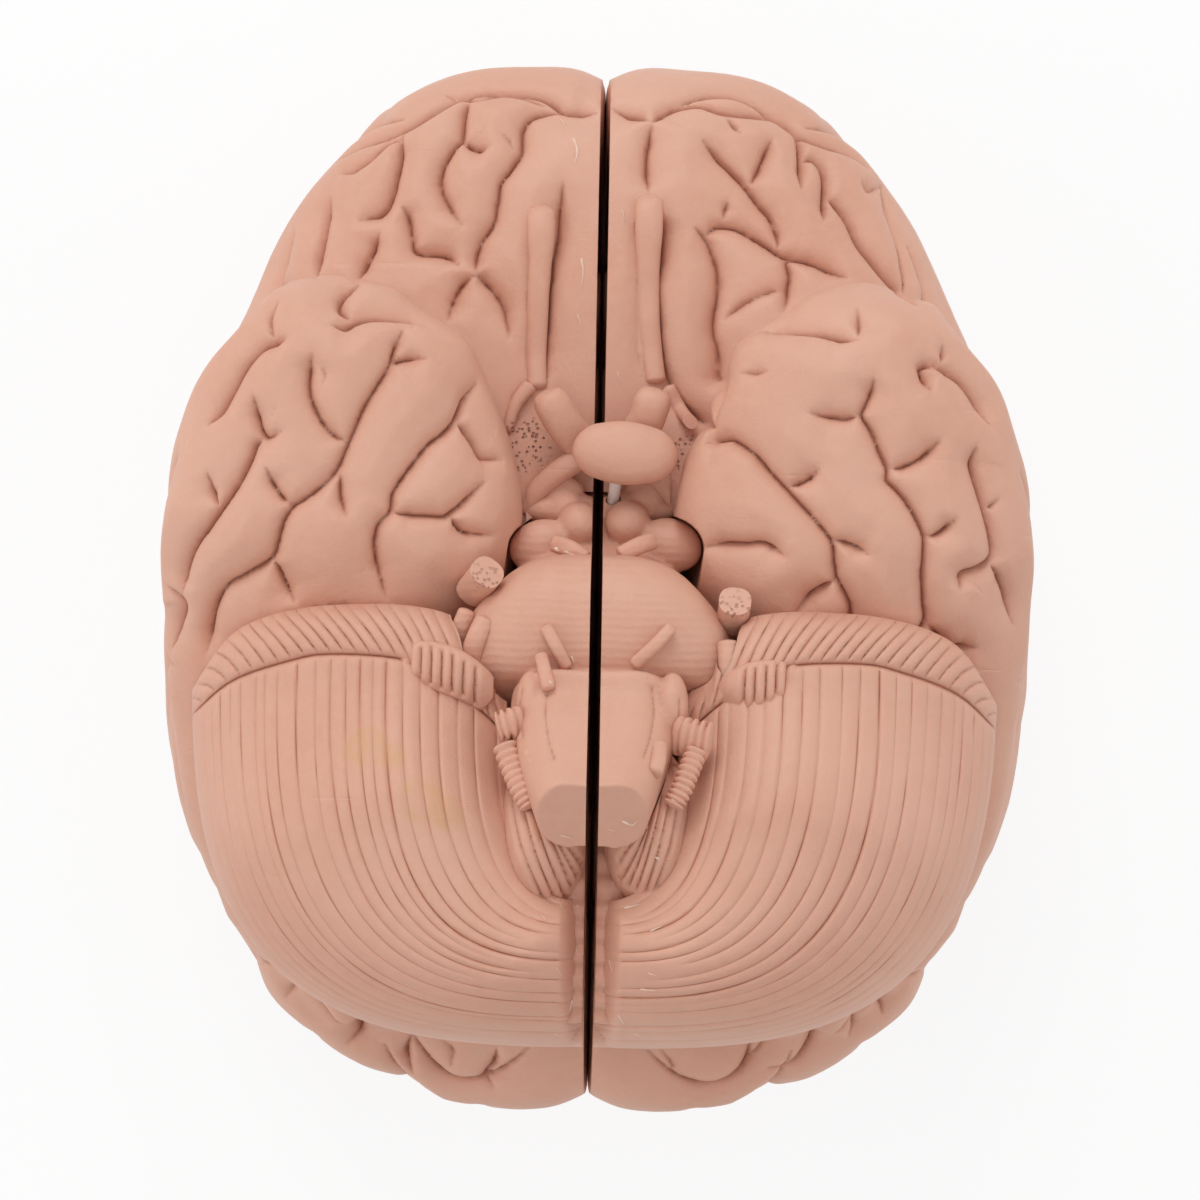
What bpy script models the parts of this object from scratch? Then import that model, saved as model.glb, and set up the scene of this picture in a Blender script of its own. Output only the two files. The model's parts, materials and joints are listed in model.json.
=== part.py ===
"""Brain anatomy model: a life-size teaching brain in soft vinyl, cut down the middle.

It lies on its crown with its base up. +Z is up, +Y is the front of the brain and +X its left side.
Each half comes apart into four castings that hold together on white dowel pegs.
Forms are drawn in millimetres and placed by place(), so they follow the overall sizes.
"""
import math

import bmesh
import bpy
from mathutils import Matrix, Vector
from mathutils.bvhtree import BVHTree
from mathutils.kdtree import KDTree

MM = 0.001

# Overall sizes, and the sizes at which the forms below are drawn
BRAIN_WIDTH = 145.6 * MM
BRAIN_LENGTH = 175.4 * MM
BRAIN_HEIGHT = 134.0 * MM
DRAWN_SIZE = (145.6, 175.4, 134.0)

# Gaps between the castings. The halves lean apart a little, so the slit is wider at the base.
HALF_GAP = 1.9 * MM
CROWN_GAP = 0.6 * MM
SPLIT_GAP = 0.6 * MM
SEAT_GAP = 0.4 * MM

# Pegs
HEMISPHERE_PEG_DIAMETER = 5.0 * MM
HEMISPHERE_PEG_LENGTH = 18.0 * MM
SIDE_PEG_DIAMETER = 5.0 * MM
SIDE_PEG_LENGTH = 16.0 * MM
STEM_PEG_DIAMETER = 4.0 * MM
STEM_PEG_LENGTH = 14.0 * MM
CEREBELLUM_PEG_DIAMETER = 4.0 * MM
CEREBELLUM_PEG_LENGTH = 14.0 * MM
PEG_CLEARANCE = 0.3 * MM
PEG_SIDES = 8

# Folds of the surface
SULCUS_DEPTH = 3.2 * MM
SULCUS_SHOULDER = 4.6 * MM
FOLIA_COUNT = 18
FOLIA_DEPTH = 1.3 * MM

# Pituitary gland and its pin
PITUITARY_WIDTH = 16.6 * MM
PITUITARY_LENGTH = 10.0 * MM
PITUITARY_THICKNESS = 7.4 * MM
PIN_DIAMETER = 1.9 * MM
PIN_LENGTH = 9.0 * MM

# How far a form runs past the middle before it is trimmed, and a length beyond the whole model
TRIM = 1.5 * MM
FAR = 0.2

# Fineness of the forms
FORM_VOXEL = 1.3 * MM
HALF_FACES = 1600
MERGE_DISTANCES = (0.08 * MM, 0.05 * MM, 0.02 * MM, 0.002 * MM)

# Directions in which the castings pull off their pegs
CEREBELLUM_PULL = Vector((0.0, -math.cos(math.radians(35)), math.sin(math.radians(35))))
STEM_TRAVEL = 60 * MM
CEREBELLUM_TRAVEL = 80 * MM
LOBE_TRAVEL = 80 * MM

# The reference picture: pixels of its middle, its tilt, and its scale at the widest level
PICTURE_CENTRE = (600.0, 600.0)
PICTURE_MIDLINE = (596.5, 588.0)
PICTURE_TILT = math.radians(1.07)
PICTURE_SCALE = 5.94
WIDEST_LEVEL = 50.0
VIEW_LEVEL = 1200.0

RIGHT = -1
LEFT = 1


# Placing drawn points

def place(x, y, z):
    """Turns a drawn point in millimetres into metres at the overall sizes."""
    return Vector((x * BRAIN_WIDTH / DRAWN_SIZE[0],
                   y * BRAIN_LENGTH / DRAWN_SIZE[1],
                   z * BRAIN_HEIGHT / DRAWN_SIZE[2]))


def picture_level(px, py):
    """Drawn x and y of a picture point at the widest level."""
    across = (px - PICTURE_MIDLINE[0]) / PICTURE_SCALE
    along = (PICTURE_MIDLINE[1] - py) / PICTURE_SCALE
    return (across * math.cos(PICTURE_TILT) - along * math.sin(PICTURE_TILT),
            across * math.sin(PICTURE_TILT) + along * math.cos(PICTURE_TILT))


def picture_point(px, py, z):
    """Drawn point that shows at a picture point and lies at height z."""
    eye_x, eye_y = picture_level(*PICTURE_CENTRE)
    x, y = picture_level(px, py)
    reach = (VIEW_LEVEL - z) / (VIEW_LEVEL - WIDEST_LEVEL)
    return (eye_x + (x - eye_x) * reach, eye_y + (y - eye_y) * reach, z)


def smooth_path(points, steps):
    """Catmull-Rom curve through the points, with so many steps to each span."""
    knots = [Vector(p) for p in points]
    ends = [knots[0] * 2 - knots[1]] + knots + [knots[-1] * 2 - knots[-2]]
    path = []
    for a, b, c, d in zip(ends, ends[1:], ends[2:], ends[3:]):
        for i in range(steps):
            t = i / steps
            path.append((b * 2 + (c - a) * t + (a * 2 - b * 5 + c * 4 - d) * t ** 2
                         + (b * 3 - a - c * 3 + d) * t ** 3) / 2)
    path.append(knots[-1])
    return path


def between(pairs, at):
    """Value at a place on a line through (place, value) pairs that run upwards."""
    if at <= pairs[0][0]:
        return pairs[0][1]
    for (low, first), (high, last) in zip(pairs, pairs[1:]):
        if at <= high:
            blend = (at - low) / (high - low)
            blend = blend * blend * (3 - 2 * blend)
            return first + (last - first) * blend
    return pairs[-1][1]


# Making and joining solids

def new_object(name, vertices, faces):
    mesh = bpy.data.meshes.new(name)
    mesh.from_pydata(vertices, [], faces)
    form = bpy.data.objects.new(name, mesh)
    bpy.context.scene.collection.objects.link(form)
    shape = bmesh.new()
    shape.from_mesh(mesh)
    bmesh.ops.recalc_face_normals(shape, faces=shape.faces)
    shape.to_mesh(mesh)
    shape.free()
    return form


def remove(form):
    mesh = form.data
    bpy.data.objects.remove(form)
    bpy.data.meshes.remove(mesh)


def apply_modifier(form, kind, **values):
    """Adds one modifier and makes its result the mesh."""
    modifier = form.modifiers.new(kind.title(), kind)
    for key, value in values.items():
        setattr(modifier, key, value)
    graph = bpy.context.evaluated_depsgraph_get()
    mesh = bpy.data.meshes.new_from_object(form.evaluated_get(graph))
    old = form.data
    form.modifiers.clear()
    form.data = mesh
    bpy.data.meshes.remove(old)
    return form


def closed_volume(form):
    """Volume of a mesh, or nothing where an edge hasn't two faces."""
    shape = bmesh.new()
    shape.from_mesh(form.data)
    closed = all(len(edge.link_faces) == 2 for edge in shape.edges)
    volume = shape.calc_volume() if closed else 0.0
    shape.free()
    return volume


def combine(form, other, operation):
    """Boolean of two solids. The second one is used up. A result that can't be right is made again."""
    first = closed_volume(form)
    second = closed_volume(other)
    before = form.data.copy()
    apply_modifier(form, "BOOLEAN", object=other, operation=operation, solver="EXACT")
    least = {"UNION": max(first, second), "DIFFERENCE": first - second, "INTERSECT": 0.0}[operation]
    most = {"UNION": first + second, "DIFFERENCE": first, "INTERSECT": min(first, second)}[operation]
    slack = first / 1000
    if not max(least - slack, slack) <= closed_volume(form) <= most + slack:
        form.data = before
        apply_modifier(form, "BOOLEAN", object=other, operation=operation, solver="MANIFOLD")
    remove(other)
    return form


def join(form, others):
    for other in others:
        combine(form, other, "UNION")
    return form


def cut(form, cutters):
    for cutter in cutters:
        combine(form, cutter, "DIFFERENCE")
    return form


def trim_middle(form, side):
    """Cuts a casting flat along the slit between the two halves."""
    lean = (HALF_GAP - CROWN_GAP) / BRAIN_HEIGHT
    near = [Vector((side * (CROWN_GAP + lean * z) / 2, y, z))
            for y, z in ((-FAR, -FAR), (FAR, -FAR), (FAR, FAR), (-FAR, FAR))]
    away = [corner - Vector((side * FAR, 0, 0)) for corner in near]
    return combine(form, loft("middle_block", [near, away]), "DIFFERENCE")


def copy_of(form):
    twin = bpy.data.objects.new(form.name + "_copy", form.data.copy())
    bpy.context.scene.collection.objects.link(twin)
    return twin


def main_body(form, distance):
    """Mesh with points this close merged, and without the crumbs that a cut can leave beside its main body."""
    shape = bmesh.new()
    shape.from_mesh(form.data)
    bmesh.ops.remove_doubles(shape, verts=shape.verts, dist=distance)
    bmesh.ops.triangulate(shape, faces=shape.faces)
    bmesh.ops.dissolve_degenerate(shape, dist=distance / 10, edges=shape.edges)
    left = set(shape.verts)
    bodies = []
    while left:
        body = {left.pop()}
        edge = list(body)
        while edge:
            vertex = edge.pop()
            for link in vertex.link_edges:
                other = link.other_vert(vertex)
                if other in left:
                    left.remove(other)
                    body.add(other)
                    edge.append(other)
        bodies.append(body)
    main = max(bodies, key=len)
    crumbs = [v for body in bodies if body is not main for v in body]
    bmesh.ops.delete(shape, geom=crumbs, context="VERTS")
    return shape


def keep_main_body(form):
    """Tidies the mesh of a casting, as coarsely as every edge of its triangles keeps two faces."""
    for distance in MERGE_DISTANCES:
        shape = main_body(form, distance)
        triangles = shape.copy()
        bmesh.ops.triangulate(triangles, faces=triangles.faces)
        closed = all(len(edge.link_faces) == 2 for edge in triangles.edges)
        triangles.free()
        if closed:
            break
    shape.to_mesh(form.data)
    shape.free()
    return form


def loft(name, rings):
    """Closed skin over rings of as many points each, with a flat face on both ends."""
    count = len(rings[0])
    vertices = [point for ring in rings for point in ring]
    faces = []
    for row in range(len(rings) - 1):
        for i in range(count):
            j = (i + 1) % count
            faces.append((row * count + i, row * count + j,
                          (row + 1) * count + j, (row + 1) * count + i))
    faces.append(tuple(range(count)))
    faces.append(tuple(range((len(rings) - 1) * count, len(rings) * count)))
    return new_object(name, vertices, faces)


def ellipsoid(name, centre, radii, turn=0.0, segments=12, rings=7):
    """Ellipsoid at a drawn centre. turn is about Z."""
    shape = bmesh.new()
    bmesh.ops.create_uvsphere(shape, u_segments=segments, v_segments=rings, radius=1.0)
    rotation = Matrix.Rotation(turn, 3, "Z")
    for vertex in shape.verts:
        local = Vector([vertex.co[i] * radii[i] for i in range(3)])
        vertex.co = place(*(Vector(centre) + rotation @ local))
    form = new_object(name, [], [])
    shape.to_mesh(form.data)
    shape.free()
    return form


def rod(name, start, end, diameter, sides=PEG_SIDES, chamfer=0.0):
    """Round bar between two points in metres."""
    axis = end - start
    rings = []
    turn = axis.to_track_quat("Z", "Y").to_matrix()
    stations = [(0.0, diameter / 2), (axis.length, diameter / 2)]
    if chamfer:
        stations = [(0.0, diameter / 2 - chamfer), (chamfer, diameter / 2),
                    (axis.length - chamfer, diameter / 2), (axis.length, diameter / 2 - chamfer)]
    for along, radius in stations:
        ring = []
        for i in range(sides):
            angle = math.tau * (i + 0.5) / sides
            ring.append(start + turn @ Vector((radius * math.cos(angle), radius * math.sin(angle), along)))
        rings.append(ring)
    return loft(name, rings)


def strand(name, points, width, height, sides=6, steps=1):
    """Flattened cord along drawn points: width across the view, height along Z."""
    path = smooth_path(points, steps)
    rings = []
    for i, centre in enumerate(path):
        heading = path[min(i + 1, len(path) - 1)] - path[max(i - 1, 0)]
        across = heading.cross(Vector((0, 0, 1))).normalized()
        upright = across.cross(heading).normalized()
        share = i / (len(path) - 1)
        wide = between(width, share) / 2
        tall = between(height, share) / 2
        ring = []
        for k in range(sides):
            angle = math.tau * (k + 0.5) / sides
            ring.append(place(*(centre + across * wide * math.cos(angle)
                                + upright * tall * math.sin(angle))))
        rings.append(ring)
    return loft(name, rings)


def convex_hull(points):
    """Mesh of the hull round some points, with its faces turned outwards."""
    shape = bmesh.new()
    for point in points:
        shape.verts.new(point)
    bmesh.ops.remove_doubles(shape, verts=shape.verts, dist=0.3 * MM)
    result = bmesh.ops.convex_hull(shape, input=shape.verts)
    inner = {item for item in result["geom_interior"] + result["geom_unused"]
             if isinstance(item, bmesh.types.BMVert)}
    bmesh.ops.delete(shape, geom=list(inner), context="VERTS")
    bmesh.ops.recalc_face_normals(shape, faces=shape.faces)
    shape.normal_update()
    return shape


def swept_hull(name, forms, clearance, moves):
    """Convex block round the forms and the way along which they move."""
    tight = convex_hull([vertex.co for form in forms for vertex in form.data.vertices])
    grown = [vertex.co + vertex.normal * clearance * vertex.calc_shell_factor() for vertex in tight.verts]
    tight.free()
    swept = convex_hull([point + move for point in grown for move in [Vector((0, 0, 0))] + moves])
    form = new_object(name, [], [])
    swept.to_mesh(form.data)
    swept.free()
    return form


# Cerebrum: outline seen from the base, distance from the middle and place along the length
OUTLINE = [(0, 84.5), (7, 87), (20, 86.6), (34, 81.5), (43, 73.7), (52.4, 60.3), (58.7, 46.8),
           (65.2, 33.3), (69.5, 19.9), (72, 6.4), (72.8, -10), (71.4, -27), (68, -40.7),
           (62, -54.2), (55, -67), (48.3, -74.4), (37, -81.4), (22, -86.8), (8, -87.7), (0, -85)]
BASE_HEIGHT = [(-87, 20), (-60, 27), (-20, 34), (20, 35), (50, 37), (87, 33)]
CROWN_SQUARENESS = 0.80
BASE_SQUARENESS = 0.50
FORM_RINGS = 9

# Temporal lobe: place along the length, distance from the middle, height, half width, half height
TEMPORAL = [(50.3, 44, 89, 3, 2.5), (48, 43.5, 90, 9.7, 7), (45, 43, 91, 13, 10), (40, 41, 91.5, 19, 13),
            (33, 41.5, 91.5, 23.5, 14.5), (20, 41.5, 91.5, 28, 15.5), (8, 42, 91, 29.3, 16.5),
            (-4, 44, 87.5, 27, 16), (-20, 46.5, 81, 23.5, 14.5), (-40, 46.5, 75, 20.5, 13),
            (-60, 41, 68, 15, 10), (-74, 36, 62, 7, 6)]

# Where the side lobe parts from the rest, seen from the side: outer skin, then inner wall
OUTER_SPLIT = [(66, 104), (50, 86), (20, 72), (-10, 58), (-35, 50), (-50, 36), (-60, 15), (-66, -12)]
OUTER_SPLIT_START = 29.0
INNER_SPLIT = [(66.5, 104), (50, 86.8), (44, 85), (20, 86), (-25, 86), (-36, 68), (-50, 39), (-61.5, 12),
               (-66.5, -12)]
INNER_SPLIT_START = 12.0
BACK_SPLIT = [(-18, 104), (-28, 87), (-36, 70), (-50, 40.5), (-62, 12), (-67, -12)]
BACK_SPLIT_START = -20.0


def cerebrum_form(side):
    """Smooth half of the cerebrum, before its folds."""
    outline = smooth_path([(x, y, 0) for x, y in OUTLINE], 2)
    rings = []
    for row in range(-FORM_RINGS, FORM_RINGS + 1):
        angle = row / FORM_RINGS * math.radians(88.5)
        square = BASE_SQUARENESS if row > 0 else CROWN_SQUARENESS
        spread = math.cos(angle) ** square
        lift = math.copysign(abs(math.sin(angle)) ** square, angle)
        ring = []
        for point in outline:
            rise = between(BASE_HEIGHT, point.y) if row > 0 else WIDEST_LEVEL
            at = place(point.x * spread, point.y * spread, WIDEST_LEVEL + rise * lift)
            at.x = side * max(at.x, 0.0)
            ring.append(at)
        rings.append(ring)
    body = loft("cerebrum_body", rings)
    rings = []
    for y, x, z, wide, tall in TEMPORAL:
        ring = []
        for k in range(20):
            angle = math.tau * k / 20
            u = math.copysign(abs(math.cos(angle)) ** 0.85, math.cos(angle))
            v = math.copysign(abs(math.sin(angle)) ** 0.85, math.sin(angle))
            ring.append(place(side * (x + wide * u), y, z + tall * v))
        rings.append(ring)
    lobe = loft("temporal_body", rings)
    body = combine(body, lobe, "UNION")
    apply_modifier(body, "REMESH", mode="VOXEL", voxel_size=FORM_VOXEL)
    apply_modifier(body, "SMOOTH", factor=0.5, iterations=6)
    return body


# Folds that show in the picture, as pixels. Right half of the brain, then left half.
BASE_FOLDS = {
    RIGHT: [
        [(444, 89), (471, 90), (504, 85), (527, 86), (548, 92), (566, 104), (584, 106), (599, 109)],
        [(566, 105), (540, 107), (527, 114), (522, 127), (521, 147), (511, 164), (500, 180),
         (497, 199), (493, 221), (481, 240), (476, 258), (475, 272)],
        [(475, 273), (462, 284), (454, 300), (448, 319)],
        [(475, 273), (483, 279), (495, 293), (504, 309), (509, 337)],
        [(467, 92), (462, 106), (460, 132), (453, 141), (445, 155), (440, 169), (440, 185),
         (448, 203), (461, 223)],
        [(460, 132), (467, 140), (478, 145), (488, 144)],
        [(399, 128), (397, 152), (393, 175), (388, 196), (379, 210), (358, 218)],
        [(398, 135), (382, 136), (365, 152), (349, 164), (340, 171)],
        [(328, 196), (321, 215), (316, 240), (313, 256), (314, 275)],
        [(378, 231), (372, 245), (363, 263), (356, 279)],
        [(401, 204), (407, 215), (411, 235), (415, 249), (434, 252), (448, 255), (459, 264)],
        [(563, 182), (560, 210), (557, 240), (551, 272), (548, 314), (545, 348), (546, 378)],
        [(404, 326), (397, 343), (390, 365), (375, 388), (362, 410), (352, 433), (337, 466),
         (322, 483), (305, 496), (291, 506), (282, 520), (277, 538), (269, 562), (240, 580),
         (222, 590), (210, 609), (204, 635), (203, 655)],
        [(391, 364), (400, 359), (413, 356), (428, 357)],
        [(311, 353), (308, 370), (307, 385), (311, 402), (320, 420), (331, 433), (348, 442)],
        [(341, 468), (339, 485), (341, 500), (346, 517)],
        [(264, 467), (270, 482), (280, 496), (291, 505)],
        [(271, 562), (277, 575), (285, 592), (294, 605)],
        [(481, 382), (472, 398), (462, 417), (450, 430), (432, 443), (420, 457), (405, 475),
         (394, 492), (391, 511), (381, 522), (376, 535), (375, 552), (377, 568), (386, 600)],
        [(391, 513), (410, 515), (430, 516), (448, 517), (458, 511), (470, 501), (488, 481)],
        [(455, 517), (462, 528), (472, 536), (495, 537)],
        [(462, 419), (472, 428), (482, 442), (490, 455), (506, 459)],
        [(250, 394), (253, 415), (262, 435), (280, 431)],
        [(262, 437), (252, 443), (246, 458), (235, 478), (222, 498), (213, 511), (200, 530),
         (190, 543), (182, 558), (176, 578), (175, 596)],
        [(203, 472), (206, 492), (214, 508)],
        [(164, 588), (175, 607), (170, 625), (168, 648)],
        [(285, 335), (272, 337), (260, 341), (250, 349), (238, 365), (227, 385), (215, 407),
         (203, 424)],
        [(360, 280), (347, 284), (340, 293), (341, 303), (350, 313)],
        [(331, 322), (345, 321), (354, 315), (370, 310), (393, 310), (416, 314), (431, 324)],
        [(355, 1014), (359, 1033), (347, 1045)],
        [(412, 1034), (404, 1058), (410, 1078)],
        [(496, 1050), (493, 1068), (484, 1082), (492, 1093)],
    ],
    LEFT: [
        [(610, 105), (628, 109), (640, 111), (648, 118)],
        [(652, 121), (648, 138), (646, 155), (646, 171), (648, 190)],
        [(652, 120), (659, 110), (671, 103), (685, 99), (701, 98), (722, 105), (742, 107),
         (770, 108), (785, 112), (796, 119), (803, 131), (804, 145), (803, 165), (802, 186)],
        [(806, 156), (815, 152), (824, 158), (829, 169), (829, 184), (827, 202), (825, 217)],
        [(831, 192), (841, 200), (853, 216), (863, 238), (875, 254), (889, 271), (905, 288),
         (917, 302)],
        [(884, 184), (896, 212), (907, 240), (912, 266), (911, 290)],
        [(702, 137), (718, 154), (735, 171), (748, 186), (758, 200), (770, 214), (777, 231),
         (779, 248)],
        [(773, 136), (767, 148), (759, 167), (750, 184)],
        [(706, 236), (711, 228), (720, 224), (737, 227), (754, 236), (770, 246), (781, 253),
         (798, 257), (813, 260), (827, 266), (848, 276)],
        [(781, 254), (787, 262), (789, 274), (787, 290), (784, 309)],
        [(694, 226), (706, 238), (712, 252), (717, 269), (718, 288), (714, 311), (712, 330),
         (716, 347), (717, 364), (714, 385), (710, 416)],
        [(664, 215), (663, 231), (661, 262), (656, 288), (658, 316), (661, 352), (666, 374),
         (676, 397), (697, 418), (708, 425)],
        [(700, 442), (708, 437), (721, 436), (731, 440), (750, 453), (765, 469), (779, 483),
         (796, 500), (813, 519), (826, 536), (832, 550), (834, 572), (836, 584), (844, 599),
         (850, 614), (850, 633), (852, 647)],
        [(783, 485), (797, 482), (809, 476), (819, 468)],
        [(829, 540), (845, 545), (859, 551), (870, 557)],
        [(835, 585), (822, 592), (806, 602), (793, 618)],
        [(875, 377), (871, 392), (865, 406), (862, 414), (872, 431), (880, 450), (888, 468),
         (888, 479), (897, 487), (908, 500), (918, 517), (926, 538), (926, 558), (924, 580),
         (925, 604), (926, 626), (918, 640), (906, 658)],
        [(862, 414), (848, 417), (830, 416), (809, 412)],
        [(889, 469), (903, 466), (918, 460), (930, 452), (942, 440)],
        [(927, 539), (940, 535), (950, 527), (958, 519)],
        [(927, 627), (940, 641), (951, 652), (963, 652), (977, 650)],
        [(762, 328), (777, 323), (796, 323), (818, 326), (840, 333), (857, 338)],
        [(944, 361), (929, 362), (924, 366), (927, 378), (934, 390)],
        [(931, 362), (952, 368), (969, 380), (984, 402), (993, 423)],
        [(980, 445), (977, 463), (984, 487), (991, 509), (997, 533), (999, 553), (994, 564),
         (981, 572), (965, 578), (962, 592)],
        [(995, 566), (1006, 580), (1014, 600), (1017, 625)],
        [(702, 549), (718, 547), (740, 547), (759, 546), (770, 551), (783, 558)],
        [(751, 1040), (748, 1065), (735, 1085), (700, 1095)],
        [(815, 1024), (811, 1048), (795, 1070), (770, 1072)],
        [(884, 991), (884, 1016)],
    ],
}

# Folds of the outer side: place along the length and height
SIDE_FOLDS = [
    [(-6, 16), (-4, 24), (-2, 33), (4, 42), (6, 52), (12, 62)],
    [(14, 28), (17, 42), (22, 54), (24, 64)],
    [(-24, 16), (-20, 24), (-18, 34), (-12, 44), (-6, 52)],
    [(17, 40), (30, 38), (44, 42), (56, 46), (66, 50)],
    [(28, 24), (40, 27), (50, 32), (62, 32)],
    [(34, 74), (36, 66), (34, 58)],
    [(44, 78), (50, 72), (58, 70)],
    [(66, 56), (76, 60), (78, 70)],
    [(-30, 22), (-42, 22), (-54, 26)],
    [(-24, 50), (-32, 42), (-34, 34)],
    [(-42, 40), (-46, 30)],
    [(50, 87), (36, 79.5), (20, 72), (5, 65), (-10, 58), (-22, 54)],
    [(44, 92), (28, 84), (10, 75), (-8, 68), (-24, 62), (-36, 58)],
    [(20, 96), (4, 88), (-12, 82), (-28, 78), (-44, 74)],
    [(-66, 44), (-62, 54), (-64, 66)],
    [(-60, 26), (-66, 34), (-72, 42)],
    [(-52, 68), (-64, 70), (-74, 66)],
]

# Folds of the front and of the back end: distance from the middle and height
FRONT_FOLDS = [
    [(10, 74), (22, 70), (34, 72), (44, 66)],
    [(14, 58), (26, 54), (36, 58)],
    [(12, 30), (16, 42), (12, 52)],
    [(28, 28), (32, 38), (28, 46)],
    [(44, 56), (40, 48), (44, 40)],
]
BACK_FOLDS = [
    [(12, 36), (20, 44), (18, 56)],
    [(30, 30), (34, 42), (30, 54), (34, 64)],
    [(44, 36), (50, 48), (46, 58)],
    [(10, 66), (22, 62), (30, 66)],
]

# Folds of the crown: distance from the middle and place along the length
CROWN_FOLDS = [
    [(4, -24), (14, -20), (24, -17), (36, -14), (48, -8), (59, -6)],
    [(12, -36), (24, -32), (36, -30), (48, -27), (59, -24)],
    [(22, 2), (34, 4), (46, 6), (56, 9)],
    [(30, 4), (30, 18), (28, 32), (29, 46), (26, 60), (22, 72)],
    [(50, 14), (48, 26), (49, 38), (44, 50)],
    [(38, -31), (40, -42), (37, -54), (38, -66)],
    [(10, 54), (18, 48), (20, 40)],
    [(10, 30), (17, 26), (20, 18)],
    [(12, -6), (20, -3)],
    [(6, -58), (16, -60), (24, -56)],
    [(14, -46), (24, -45)],
    [(50, -40), (56, -48), (52, -58)],
]

# Folds of the flat middle face: place along the length and height
MIDDLE_FOLDS = [
    [(28, 64), (36, 62), (38, 54), (32, 44), (16, 34), (-8, 33), (-26, 38), (-36, 48), (-35, 58)],
    [(40, 76), (52, 64), (54, 50), (46, 36), (30, 27), (10, 24), (-10, 25), (-26, 26), (-32, 14)],
    [(-36, 62), (-50, 66), (-66, 62), (-80, 56)],
    [(-50, 64), (-56, 48), (-62, 34), (-66, 26)],
    [(44, 79), (56, 75), (68, 66)],
]


def fold_paths(side, skin):
    """Every fold of one half as (points on the skin, deepness at each point)."""
    eye_x, eye_y = picture_level(*PICTURE_CENTRE)
    eye = place(eye_x, eye_y, VIEW_LEVEL)
    rays = []
    for fold in BASE_FOLDS[side]:
        path = smooth_path([(px, py, 0) for px, py in fold], 8)
        rays.append([(eye, place(*picture_point(p.x, p.y, WIDEST_LEVEL)) - eye) for p in path])
    for fold in SIDE_FOLDS:
        path = smooth_path([(y, z, 0) for y, z in fold], 12)
        rays.append([(place(0, p.x, p.y) + Vector((side * FAR, 0, 0)), Vector((-side, 0, 0))) for p in path])
    for folds, way in ((FRONT_FOLDS, -1), (BACK_FOLDS, 1)):
        for fold in folds:
            path = smooth_path([(side * x, z, 0) for x, z in fold], 12)
            rays.append([(place(p.x, 0, p.y) - Vector((0, way * FAR, 0)), Vector((0, way, 0))) for p in path])
    for fold in CROWN_FOLDS:
        path = smooth_path([(side * x, y, 0) for x, y in fold], 12)
        rays.append([(place(p.x, p.y, 0) - Vector((0, 0, FAR)), Vector((0, 0, 1))) for p in path])
    for fold in MIDDLE_FOLDS:
        path = smooth_path([(y, z, 0) for y, z in fold], 12)
        rays.append([(place(0, p.x, p.y) - Vector((side * FAR, 0, 0)), Vector((side, 0, 0))) for p in path])
    paths = []
    for fold in rays:
        hits = [skin.ray_cast(start, way.normalized())[0] for start, way in fold]
        hits = [hit for hit in hits if hit is not None]
        if len(hits) > 3:
            paths.append(hits)
    return paths


def fold_depth(distance):
    """Depth under the crest: a rounded shoulder that drops into a narrow crease."""
    if distance >= SULCUS_SHOULDER:
        return 0.0
    inward = 1 - distance / SULCUS_SHOULDER
    return SULCUS_DEPTH * (1 - math.sqrt(max(0.0, 1 - inward ** 2)))


def carve_folds(form, side):
    """Presses the folds into the skin of one half."""
    shape = bmesh.new()
    shape.from_mesh(form.data)
    shape.normal_update()
    paths = fold_paths(side, BVHTree.FromBMesh(shape))
    spots = []
    for path in paths:
        for i, (here, there) in enumerate(zip(path, path[1:])):
            steps = max(1, int((there - here).length / (0.5 * MM)))
            taper = min(1.0, 0.35 + i / 6, 0.35 + (len(path) - 1 - i) / 6)
            spots += [(here.lerp(there, k / steps), taper) for k in range(steps)]
    tree = KDTree(len(spots))
    for i, (spot, taper) in enumerate(spots):
        tree.insert(spot, i)
    tree.balance()
    moves = []
    for vertex in shape.verts:
        near, index, distance = tree.find(vertex.co)
        moves.append(vertex.normal * -fold_depth(distance) * spots[index][1])
    for vertex, move in zip(shape.verts, moves):
        vertex.co += move
    shape.to_mesh(form.data)
    shape.free()
    return form


def folded_half(side):
    """One half of the cerebrum with its folds, thinned to its share of faces."""
    form = carve_folds(cerebrum_form(side), side)
    ratio = HALF_FACES / (2 * len(form.data.polygons))
    apply_modifier(form, "DECIMATE", decimate_type="COLLAPSE", ratio=ratio)
    return form


def split_block(side, gap):
    """Block that holds the side lobe. A gap above zero grows it, below zero shrinks it."""
    parts = []
    for line, near in ((OUTER_SPLIT, OUTER_SPLIT_START), (INNER_SPLIT, INNER_SPLIT_START),
                       (BACK_SPLIT, BACK_SPLIT_START)):
        skin = [place(0, y, z) + Vector((0, gap / 2, -gap)) for y, z in line]
        skin.append(Vector((0, -FAR, skin[-1].z)))
        skin.append(Vector((0, -FAR, FAR)))
        skin.append(Vector((0, skin[0].y, FAR)))
        start = place(side * near, 0, 0).x - side * gap
        rings = []
        for x in (start, side * FAR):
            rings.append([Vector((x, point.y, point.z)) for point in skin])
        parts.append(loft("split_block", rings))
    return join(parts[0], parts[1:])


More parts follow.
